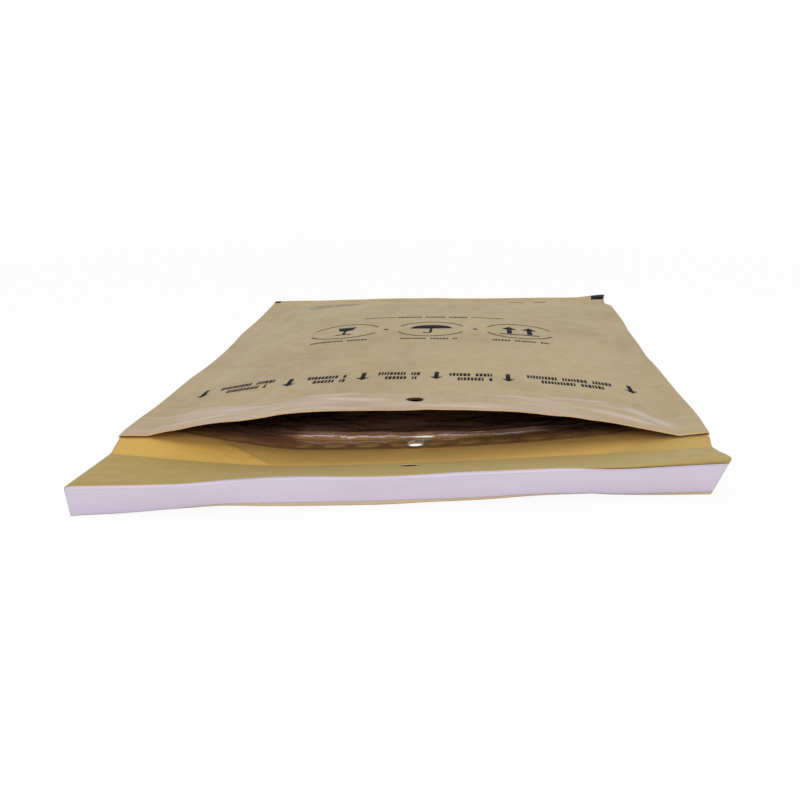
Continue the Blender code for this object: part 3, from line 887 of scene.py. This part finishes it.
def kraft_shares(verts, front_count, row_of, crease, face_rows):
    """The looks of each point of the paper, as shares, painted light and shade among them.

    row_of counts the back's rows from the tip.  It is 0 on the folds, which take the tip's painted light as
    well.
    """
    px, py = verts[:, 0], verts[:, 1]
    is_front = np.arange(len(verts)) < front_count
    on_back = ~is_front
    inside = on_back & (row_of >= crease)
    # pale: the band at the mouth where sheen is painted, weaker to the right
    wander = 0.0016 * soft_noise(px, py, 0.022, 0.05, SEED_PALE)
    pale = np.where(is_front, 1 - step_up(py + wander, PALE_BAND - 0.002, PALE_BAND + 0.001), 0.0)
    # streak: painted highlights on the band at the mouth
    streak = sum(pleat(px, py, *line, 1.0) for line in PAINTED_HIGHLIGHT_STREAKS) * is_front
    # golden: the golden inner side of the paper, deepened by painted bounce light inside the pocket; on the
    # front, a thin golden band at the far seal, painted where less sheen shows
    golden = np.where(is_front, 0.22 * step_up(py, 0.258, 0.262), np.where(inside, 1.0, 0.0))
    sheen_and_shade = np.where(on_back & (row_of < crease) & (row_of >= face_rows), 1.0, 0.0)
    # Rows over the ridge, darkened at the right: painted shade
    over_ridge = on_back & (row_of >= face_rows - 4) & (row_of < face_rows + 6)
    # bright: painted light on the apron, on the facet left of the slanting crease, under the front sheet's
    # edge and a little on its middle
    out = py + CREASE_OUT
    beyond = np.where(px < 0, -0.0465 - 1.02 * out - px, px - 0.0665 - 1.05 * out)
    bright = step_up(beyond, -0.0001, 0.0007) * (0.32 - 0.18 * step_up(beyond, 0.004, 0.030))
    bright = bright + 0.45 * step_up(beyond, 0.0, 0.002) * step_up(py, -0.004, 0.006)
    return {
        "pale": pale * (1 - 0.62 * step_up(px, 0.035, 0.070)),
        "golden": np.where(on_back & (row_of < face_rows), 0.55, golden),
        "bright": np.where(px < 0, bright, 0.0) + 0.16 * (1 - step_up(beyond, -0.0040, -0.0002)),
        # Painted sheen on the flap's slope, and painted shade greying the right of the apron
        "sheen_and_shade": np.where(inside & (px > 0), 0.55 * step_up(beyond, -0.0001, 0.0010), sheen_and_shade),
        "worn": np.where(is_front, 1 - step_up(py, 0.0005, 0.0018), 0.0),
        "streak": np.clip(streak, 0, 1),
        # tip: painted light on the flap's last rows and on the folds
        "tip": np.where(on_back & (row_of < 4), 1.0, 0.0),
        "painted_ridge_shade": np.where(over_ridge, 0.45 * step_up(px, 0.030, 0.055), 0.0),
    }


def kraft_piece(kraft, cut_edge):
    """The paper: front sheet, back sheet with the flap, and the folds that join them."""
    x, y = np.meshgrid(COLUMNS, BODY_ROWS)
    hole_x, hole_y, ring = round_hole(x, y, HOLE_SETBACK)
    rows, columns = x.shape
    open_hole = ring <= HOLE_RIM
    front = front_sheet(hole_x, hole_y)

    places, flap, flap_hole = flap_grid()
    crease = len(places) - 1
    apron = back_sheet(*np.meshgrid(COLUMNS, np.linspace(-CREASE_OUT, 0.0, 10)[1:-1]))
    back = soften(np.concatenate([flap[::-1], apron, back_sheet(hole_x, hole_y)]), crease)
    back_hole = np.concatenate([flap_hole[::-1], np.zeros(apron.shape[:2], bool), open_hole])
    back_rows = len(back)

    verts = np.concatenate([front.reshape(-1, 3), back.reshape(-1, 3)])
    front_count = rows * columns
    front_index = np.arange(front_count).reshape(rows, columns)
    back_index = front_count + np.arange(back_rows * columns).reshape(back_rows, columns)
    faces = grid_faces(0, rows, columns, True, open_hole)
    faces += grid_faces(front_count, back_rows, columns, False, back_hole)

    def fold(row_a, row_b, outward, flip):
        nonlocal verts, faces
        middle = (verts[row_a] + verts[row_b]) / 2 + np.asarray(outward) * FOLD_ROUND
        middle_row = list(range(len(verts), len(verts) + len(middle)))
        verts = np.concatenate([verts, middle])
        faces += strip_faces(row_a, middle_row, flip) + strip_faces(middle_row, row_b, flip)
        return middle_row

    under = back_index[back_rows - rows:]
    left = fold(front_index[:, 0], under[:, 0], (-1, 0, 0), False)
    right = fold(front_index[:, -1], under[:, -1], (1, 0, 0), True)
    far = fold(front_index[-1], under[-1], (0, 1, 0), False)
    faces += [(front_index[-1, 0], far[0], left[-1]), (far[0], under[-1, 0], left[-1])]
    faces += [(front_index[-1, -1], right[-1], far[-1]), (far[-1], right[-1], under[-1, -1])]

    row_of = np.zeros(len(verts))
    row_of[back_index] = np.arange(back_rows)[:, None]
    shares = kraft_shares(verts, front_count, row_of, crease, crease - np.searchsorted(places, 2.0))
    body = make_piece("kraft_paper_body", settled(verts), faces, [kraft, cut_edge], shares)
    thicken(body, PAPER, -1, True, 1)
    return body


# Bubble film lining

LINING_COLUMNS = mirrored(spread((0, 0), (HOLE_BLOCK, HOLE_STEPS), (0.012, 7), (HALF_POCKET, 54),
                                 (HALF_WIDTH - 0.0015, 3)))
FILM_EDGE = 0.0004
LIP_PLACE = 0.0233
LIP_RUN = 0.0007
fold_height = smooth_curve(
    (-0.095, 0.0012), (-0.042, 0.0021), (0.0, 0.0016), (0.040, 0.0011), (0.095, 0.0009))


def lip_line(x):
    """How far from the mouth the loose film folds up."""
    wander = 0.0007 * soft_noise(x, x * 0, 0.019, 1.0, SEED_LIP)
    return LIP_PLACE + wander + 0.0002 * soft_noise(x, x * 0, 0.0045, 1.0, SEED_LIP_SMALL)


def lip_share(x):
    return window(x, -0.050, -0.040, 0.036, 0.056)


def bubble_rise(x, y):
    """Low round swellings of the bubbles that are pressed flat at the mouth."""
    column = np.round((x - BUBBLE_FIRST_X) / BUBBLE_PITCH) * BUBBLE_PITCH + BUBBLE_FIRST_X
    far = np.hypot(x - column, y - BUBBLE_FIRST_Y)
    return PRESSED_BUBBLE * (1 - step_up(far, BUBBLE_DISC - 0.0012, BUBBLE_DISC + 0.0003))


def wall_thickness(x, y):
    """One wall of the lining: flat on the paper at the mouth, with a loose fold behind."""
    room = front_height(x, y) - back_height(x, y) - 2 * (PAPER + SKIN_GAP)
    full = np.minimum(LINING, LINING_SHARE * room)
    fold = fold_height(x) + 0.0004 * soft_noise(x, y * 0, 0.012, 1.0, SEED_FOLD)
    past = y - lip_line(x)
    loose = lip_share(x)
    sudden = step_up(past, -LIP_RUN, LIP_RUN)
    gentle = step_up(past, -0.0080, 0.0060)
    rising = FILM_EDGE + (fold - FILM_EDGE) * (sudden * loose + gentle * (1 - loose))
    deep = (LINING - fold) * step_up(past, 0.004, 0.050)
    trough = 0.0005 * np.exp(-((past - 0.0021) / 0.0008) ** 2)
    trough = trough * loose * (1 + 0.8 * soft_noise(x, y * 0, 0.010, 1.0, SEED_TROUGH))
    crest = 0.0004 * loose * np.exp(-((past - 0.0042) / 0.0012) ** 2)
    wrinkle = 0.00022 * soft_noise(x + 0.8 * y, y, 0.006, 0.0022, SEED_WRINKLE) * step_up(past, 0.0, 0.002)
    puff = 0.00045 * soft_noise(x, y, 0.0115, 0.010, SEED_PUFF) * step_up(past, 0.002, 0.008)
    bubbles = bubble_rise(x, y) * (1 - step_up(past, -0.003, 0.0))
    return np.minimum(full, rising + deep + puff + wrinkle + crest - trough + bubbles)


def film_shares(x, y, at_edge):
    """The looks of each point of the film, as shares, and how far it is past the fold in mm."""
    past = y - lip_line(x)
    loose = lip_share(x)
    disc = np.where(x < -0.006, 1.0, 0.45) * window(x, -0.044, -0.038, 0.020, 0.036)
    return {
        "depth": step_up(past, 0.0001, 0.0012) * loose + step_up(past, -0.0090, -0.0030) * (1 - loose),
        "disc": disc * (1 - step_up(past, -0.0012, -0.0002)),
        "past": past * 1000,
        "reach": window(x, -0.045, -0.040, 0.040, 0.058),
        "rim": np.where(at_edge, 1.0, 0.0),
    }


LINING_ROWS = spread(
    (LINING_SETBACK, 0), (HOLE_SETBACK - HOLE_BLOCK, 1), (HOLE_SETBACK + HOLE_BLOCK, 2 * HOLE_STEPS),
    (0.0215, 5), (0.0255, 27), (0.030, 16), (0.060, 26), (BODY_LENGTH - FAR_SEAL, 40))


def lining_wall(name, upper, film):
    """One wall of the pouch, closed round its edges, with the hole through it."""
    x, y = np.meshgrid(LINING_COLUMNS, LINING_ROWS)
    rows, columns = x.shape
    first_row = y <= LINING_ROWS[0]
    x, y, ring = round_hole(x, y, HOLE_SETBACK)
    hole = ring <= HOLE_RIM
    if upper:
        outer = front_sheet(x, y, -PAPER - SKIN_GAP)
        inward = -wall_thickness(x, y)
    else:
        outer = points(x, y, back_height(x, y) + PAPER + SKIN_GAP)
        inward = wall_thickness(x, y)
    inner = outer.copy()
    inner[..., 2] += inward
    verts = np.concatenate([outer.reshape(-1, 3), inner.reshape(-1, 3)])
    count = rows * columns
    outer_index = np.arange(count).reshape(rows, columns)
    inner_index = outer_index + count
    faces = grid_faces(0, rows, columns, upper, hole)
    faces += grid_faces(count, rows, columns, not upper, hole)
    rims = ((inner_index[0], outer_index[0]), (outer_index[-1], inner_index[-1]),
            (outer_index[:, 0], inner_index[:, 0]), (inner_index[:, -1], outer_index[:, -1]))
    for row_a, row_b in rims:
        faces += strip_faces(row_a, row_b, upper)
    round_rim = hole_ring(hole)
    for a, b in zip(round_rim, round_rim[1:] + round_rim[:1]):
        quad = (outer_index[a], outer_index[b], inner_index[b], inner_index[a])
        faces.append(quad if upper else quad[::-1])
    shares = film_shares(x, y, first_row)
    shares = {key: np.tile(values.reshape(-1), 2) for key, values in shares.items()}
    return make_piece(name, settled(verts), faces, [film], shares)


def hole_ring(hole):
    """The (row, column) places round the block of a punched hole, in order."""
    marked = np.argwhere(hole)
    (top, left), (bottom, right) = marked.min(axis=0), marked.max(axis=0)
    ring = [(top, column) for column in range(left, right)]
    ring += [(row, right) for row in range(top, bottom)]
    ring += [(bottom, column) for column in range(right, left, -1)]
    ring += [(row, left) for row in range(bottom, top, -1)]
    return ring


# Release liner and glue

STRIP_COLUMNS = 161
STRIP_SAMPLES = 361
STRIP_WAVE = 0.00012
LINER_LIFT = PAPER + 0.0002
LINER_THICKNESS = 0.00015
GLUE_LIFT = PAPER + 0.00004
GLUE_THICKNESS = 0.0001
GLUE_INSET = 0.002


def flap_run(x, count):
    """Points of the flap's underside from the tip towards the crease, and their distances."""
    place = np.linspace(3, 0, count)
    grid_x, grid_place = np.meshgrid(x, place)
    run = flap_sheet(grid_x, grid_place)
    steps = np.linalg.norm(np.diff(run, axis=0), axis=-1)
    distance = np.concatenate([np.zeros((1, len(x))), np.cumsum(steps, axis=0)])
    return run, distance


def flap_strip(name, start, end, lift, thickness, material, rows):
    """A strip on the inner side of the flap, between two distances from the tip."""
    reach = HALF_WIDTH - STRIP_END_GAP
    x = np.clip(np.linspace(-HALF_WIDTH, HALF_WIDTH, STRIP_COLUMNS), -reach, reach)
    run, distance = flap_run(x, STRIP_SAMPLES)
    begin, stop = start(x), end(x)
    sheet = np.empty((rows, len(x), 3))
    for column in range(len(x)):
        wanted = np.linspace(begin[column], stop[column], rows)
        for axis in range(3):
            sheet[:, column, axis] = np.interp(wanted, distance[:, column], run[:, column, axis])
    along = unit(np.gradient(sheet, axis=0))
    inner_side = np.cross(np.array([1.0, 0.0, 0.0]), along)
    grid_x, grid_s = np.meshgrid(x, np.linspace(0, LINER_WIDTH, rows))
    wave = STRIP_WAVE * (1 + soft_noise(grid_x, grid_s, 0.024, 0.012, SEED_STRIP))
    sheet = sheet + inner_side * (lift + thickness + wave)[..., None]
    faces = grid_faces(0, rows, len(x), True)
    # crown: the rows at the ridge end, where the liner's shade is painted
    crown = np.repeat(step_up(np.linspace(0, 1, rows), 0.91, 1.0), len(x))
    strip = make_piece(name, sheet, faces, [material], {"crown": crown})
    thicken(strip, thickness, -1, False)
    return strip


liner_start = smooth_curve(
    (-0.100, 0.0007), (-0.086, 0.0004), (-0.070, 0.0008), (-0.0485, 0.0022), (-0.0325, 0.0028),
    (0.000, 0.0028), (0.010, 0.0024), (0.024, 0.0024), (0.040, 0.0021), (0.050, 0.0016),
    (0.0635, 0.0013), (0.080, 0.0018), (0.100, 0.0024))
short_of_ridge = smooth_curve((-0.100, 0.0), (0.045, 0.0), (0.070, 0.0006), (0.100, 0.0017))


def liner_end(x):
    crease, before, ridge, after, tip = flap_corners(x)
    return np.linalg.norm(ridge - tip, axis=-1) - short_of_ridge(x)


# Print: plain marks lying on the front sheet

PRINT_LIFT = 0.00006
PRINT_CELL = 0.004


class Print:
    """Marks laid on the front sheet, each cut into small cells that follow it."""

    def __init__(self):
        self.verts = []
        self.faces = []

    def shape(self, outline):
        first = len(self.verts)
        self.verts += outline
        self.faces.append(list(range(first, first + len(outline))))

    def bar(self, x, y, width, height):
        self.line((x - width / 2, y), (x + width / 2, y), height)

    def ring(self, x, y, radius, width, start=0.0, end=360.0):
        inner, outer = radius - width / 2, radius + width / 2
        steps = max(3, round(abs(end - start) / 12))
        turns = np.radians(np.linspace(start, end, steps + 1))
        for a, b in zip(turns, turns[1:]):
            corners = [(inner, a), (outer, a), (outer, b), (inner, b)]
            self.shape([(x + r * math.cos(t), y + r * math.sin(t)) for r, t in corners])

    def line(self, start, end, width):
        (ax, ay), (bx, by) = start, end
        length = math.hypot(bx - ax, by - ay)
        nx, ny = -(by - ay) / length * width / 2, (bx - ax) / length * width / 2
        cells = max(1, round(length / PRINT_CELL))
        along = [(ax + (bx - ax) * cell / cells, ay + (by - ay) * cell / cells) for cell in range(cells + 1)]
        for (px, py), (qx, qy) in zip(along, along[1:]):
            self.shape([(px - nx, py - ny), (qx - nx, qy - ny), (qx + nx, qy + ny), (px + nx, py + ny)])

    def piece(self, name, ink):
        x, y = np.array(self.verts).T
        obj = make_piece(name, settled(front_sheet(x, y, PRINT_LIFT)), self.faces, [ink])
        thicken(obj, PRINT_LIFT / 2, 0, False)
        return obj


# Places of the opening arrows, and place and width of the word rows between them
ARROW_LENGTH = 0.0115
ARROWS = ((-0.0850, 0.0525), (-0.0505, 0.0485), (-0.0222, 0.0505), (0.0062, 0.0515), (0.0340, 0.0505),
          (0.0815, 0.0525))
WORD_BLOCKS = ((-0.0675, 0.0500, 0.0215), (-0.0360, 0.0490, 0.0160), (-0.0080, 0.0505, 0.0170),
               (0.0200, 0.0500, 0.0175), (0.0580, 0.0510, 0.0330))
WORD_HEIGHT = 0.0048
WORD_APART = 0.0034

# The handling signs, their rings, the words near them and the faint rows by the far edge
SIGNS_Y = 0.141
SIGN_SIZE = 0.020
RING_RADIUS = 0.0165
RING_WIDTH = 0.0009
TITLE_Y = SIGNS_Y + 0.031
FAINT_Y = 0.234
FAINT_APART = 0.009
FAINT_CORNER_Y = 0.262

# Bars that stand for letters: their widths, the gap after each and the longer gap between groups
STROKE_THIN, STROKE_THICK = 0.0006, 0.0012
STROKE_GAP = 0.00042
GROUP_GAP = 0.0018
GROUP_FROM, GROUP_BELOW = 5, 12


def placed(x, y, size, outline):
    """An outline given in shares of the size of a mark, round the mark's place."""
    return [(x + size * u, y + size * v) for u, v in outline]


def arrow(marks, x, y, length):
    """An opening arrow that points at the mouth."""
    marks.bar(x, y + length * 0.125, length * 0.15, length * 0.75)
    marks.shape(placed(x, y, length, [(0, -0.5), (0.22, -0.175), (-0.22, -0.175)]))


def word_row(marks, x, y, width, height, draw):
    """A row of short upright bars in groups, in the place of words."""
    place = x - width / 2
    end = x + width / 2
    group = draw.integers(GROUP_FROM, GROUP_BELOW)
    while place < end - STROKE_THIN:
        stroke = draw.uniform(STROKE_THIN, STROKE_THICK)
        marks.bar(place + stroke / 2, y, stroke, height * draw.uniform(0.85, 1.0))
        place += stroke + STROKE_GAP
        group -= 1
        if group == 0:
            group = draw.integers(GROUP_FROM, GROUP_BELOW)
            place += GROUP_GAP


def umbrella(marks, x, y, size):
    """Keep dry: a canopy with a hooked stick."""
    rim = [(0.5 * math.cos(t), 0.05 + 0.42 * math.sin(t)) for t in np.linspace(0, math.pi, 13)]
    for a, b in zip(rim, rim[1:]):
        marks.shape(placed(x, y, size, [(0, 0.05), a, b]))
    marks.line((x, y + size * 0.05), (x, y - size * 0.36), size * 0.06)
    marks.ring(x - size * 0.08, y - size * 0.36, size * 0.08, size * 0.055, 180, 360)


def up_arrows(marks, x, y, size):
    """This way up: two arrows over a line."""
    for side in (-1, 1):
        middle = x + side * size * 0.24
        marks.bar(middle, y - size * 0.08, size * 0.12, size * 0.50)
        marks.shape(placed(middle, y, size, [(-0.18, 0.14), (0.18, 0.14), (0, 0.46)]))
    marks.bar(x, y - size * 0.42, size * 0.92, size * 0.07)


def glass(marks, x, y, size):
    """Fragile: a stemmed glass."""
    bowl = [(0.22, 0.46), (0.16, 0.10), (0, -0.02), (-0.16, 0.10), (-0.22, 0.46)]
    marks.shape(placed(x, y, size, bowl))
    marks.bar(x, y - size * 0.20, size * 0.06, size * 0.40)
    marks.bar(x, y - size * 0.41, size * 0.36, size * 0.07)


def print_pieces(navy, grey):
    draw = np.random.default_rng(SEED_PRINT)
    marks = Print()
    for x, y in ARROWS:
        arrow(marks, x, y, ARROW_LENGTH)
    for x, y, width in WORD_BLOCKS:
        word_row(marks, x, y + WORD_APART, width, WORD_HEIGHT, draw)
        word_row(marks, x + 0.001, y - WORD_APART, width * 0.74, WORD_HEIGHT, draw)
    for x, sign in ((-0.041, glass), (0.000, umbrella), (0.042, up_arrows)):
        sign(marks, x, SIGNS_Y, SIGN_SIZE)
        marks.ring(x, SIGNS_Y, RING_RADIUS, RING_WIDTH, 25, 155)
        marks.ring(x, SIGNS_Y, RING_RADIUS, RING_WIDTH, 205, 335)
        word_row(marks, x, SIGNS_Y - 0.0225, 0.026, 0.0026, draw)
    for x in (-0.0215, 0.0210):
        marks.ring(x, SIGNS_Y, 0.0006, 0.0012)
    for x in (-0.027, 0.027):
        marks.bar(x, TITLE_Y, 0.016, 0.0011)
    word_row(marks, 0.0, TITLE_Y, 0.036, 0.0032, draw)
    marks.bar(HALF_WIDTH - 0.0045, BODY_LENGTH - 0.0055, 0.0080, 0.0100)
    marks.bar(-HALF_WIDTH + 0.0020, BODY_LENGTH - 0.0030, 0.0034, 0.0050)
    faint = Print()
    for row, width in enumerate((0.030, 0.038, 0.034)):
        word_row(faint, -0.058 + row * 0.001, FAINT_Y + row * FAINT_APART, width, 0.0038, draw)
    for x, width in ((0.046, 0.010), (0.060, 0.008)):
        word_row(faint, x, FAINT_CORNER_Y, width, 0.0036, draw)
    return [marks.piece("print_dark", navy), faint.piece("print_faint", grey)]


# Stage

FLOOR_HALF = 4.0
FLOOR_GLOW = 0.93
FLOOR_GLOW_NEAR, FLOOR_GLOW_FAR = 0.35, 1.1
# Painted shadow on the floor under the flap, seen through its hole
UNDER_HOLE = (-0.0014, MOUTH_Y + 0.0010)
UNDER_HOLE_HALF = 0.0095
UNDER_HOLE_BLUR = 0.004
WORLD_LIGHT = 0.55
WHITE = (1.0, 1.0, 1.0)

# Name, place, size, watts and colour
LAMPS = (
    ("lamp_top", (0.10, 0.35, 1.20), (0.25, 0.25), 1.2, (1.0, 0.98, 0.96)),
    ("lamp_high", (-0.15, -0.70, 1.15), (0.40, 0.40), 2.6, (1.0, 0.99, 0.97)),
    ("lamp_front", (0.25, -1.30, 0.72), (0.90, 0.45), 8.0, WHITE),
)
LAMPS_AIM = np.array([0.0, -0.05, 0.0])

# The camera as fitted to the photo, in its pixels, metres and degrees
PHOTO_WIDTH = 800.0
CAMERA_FOCUS = 976.0
CAMERA_SHIFT = -69.0
CAMERA_PLACE = (0.022, MOUTH_Y - 0.312, 0.125)
CAMERA_DOWN = 17.8
CAMERA_TURN = 0.5
SENSOR_WIDTH = 36.0


def lay_floor():
    """A pale floor that keeps shadows, white far off, with a painted shadow where the flap's hole shows it.
    """
    half = FLOOR_HALF
    low = float(cad_box[0][2]) - 0.0001
    mesh = bpy.data.meshes.new("floor")
    corners = [(-half, -half, low), (half, -half, low), (half, half, low), (-half, half, low)]
    mesh.from_pydata(corners, [], [(0, 1, 2, 3)])
    floor = place_object("floor", mesh)
    n = Surface("studio_floor")
    diffuse = n.add("ShaderNodeBsdfDiffuse")
    glow = n.add("ShaderNodeEmission")
    n.fill(glow, Strength=1.0)
    distance = n.vector("DISTANCE", n.place, (*UNDER_HOLE, low), out="Value")
    painted_shadow = n.ramp(distance, UNDER_HOLE_HALF, UNDER_HOLE_HALF + UNDER_HOLE_BLUR, 1.0, 0.0)
    pale_floor = n.mix(n.cloud(3, detail=2), FLOOR_DARK, FLOOR_LIGHT)
    n.fill(diffuse, Color=n.mix(painted_shadow, pale_floor, UNDER_HOLE_PAINTED_SHADOW))
    share = n.ramp(distance, FLOOR_GLOW_NEAR, FLOOR_GLOW_FAR, FLOOR_GLOW, 1.0)
    share = n.times(n.seen_directly(), share)
    share = n.times(share, n.math("SUBTRACT", 1.0, painted_shadow))
    n.fill(n.output, Surface=n.blend(share, diffuse.outputs[0], glow.outputs[0]))
    floor.data.materials.append(n.material)


def light_world():
    """Soft light from all round, which is plain white where it is seen directly."""
    world = bpy.data.worlds.new("studio")
    bpy.context.scene.world = world
    world.use_nodes = True
    n = Nodes(world.node_tree)
    dim = n.tree.nodes["Background"]
    bright = n.add("ShaderNodeBackground")
    for background, strength in ((dim, WORLD_LIGHT), (bright, 1.0)):
        n.fill(background, Color=WHITE, Strength=strength)
    blend = n.blend(n.seen_directly(), dim.outputs[0], bright.outputs[0])
    n.fill(n.tree.nodes["World Output"], Surface=blend)


def hang_lamps():
    for name, place, size, power, colour in LAMPS:
        lamp = bpy.data.lights.new(name, "AREA")
        lamp.shape = "RECTANGLE"
        lamp.size, lamp.size_y = size
        lamp.energy = power
        lamp.color = colour
        obj = place_object(name, lamp)
        obj.location = place
        x, y, z = LAMPS_AIM - np.array(place)
        obj.rotation_euler = (math.atan2(math.hypot(x, y), -z), 0.0, math.atan2(y, x) - math.pi / 2)


def set_camera():
    data = bpy.data.cameras.new("camera")
    data.sensor_width = SENSOR_WIDTH
    data.lens = CAMERA_FOCUS / PHOTO_WIDTH * SENSOR_WIDTH
    data.shift_x = CAMERA_SHIFT / PHOTO_WIDTH
    data.clip_start = 0.01
    obj = place_object("camera", data)
    obj.location = CAMERA_PLACE
    obj.rotation_euler = Euler((math.radians(90 - CAMERA_DOWN), 0.0, math.radians(CAMERA_TURN)))
    bpy.context.scene.camera = obj


# Making

body = kraft_piece(kraft_material(), cut_edge_material())
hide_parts("kraft_envelope")
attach(body, "root")

for name, upper, film in (
        ("film_lining_lower", False, film_material("bubble_film", 1.0)),
        ("film_lining_upper", True, film_material("bubble_film_upper_shaded", UPPER_FILM_PAINTED_SHADE))):
    wall = lining_wall(name, upper, film)
    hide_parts("bubble_lining")
    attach(wall, "root")

liner = flap_strip("release_liner_strip", liner_start, liner_end,
                   LINER_LIFT, LINER_THICKNESS, liner_material(), 25)
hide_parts("release_liner")
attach(liner, "root")

glue = flap_strip("adhesive_line", lambda x: liner_start(x) + GLUE_INSET, lambda x: liner_end(x) - GLUE_INSET,
                  GLUE_LIFT, GLUE_THICKNESS, adhesive_material(), 13)
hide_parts("adhesive_strip")
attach(glue, "root")

navy = ink_material("ink_navy", NAVY, NAVY_WORN)
grey = ink_material("ink_grey", GREY, GREY_WORN)
for marks in print_pieces(navy, grey):
    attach(marks, "root")

lay_floor()
light_world()
hang_lamps()
set_camera()
bpy.context.scene.view_settings.view_transform = "Standard"
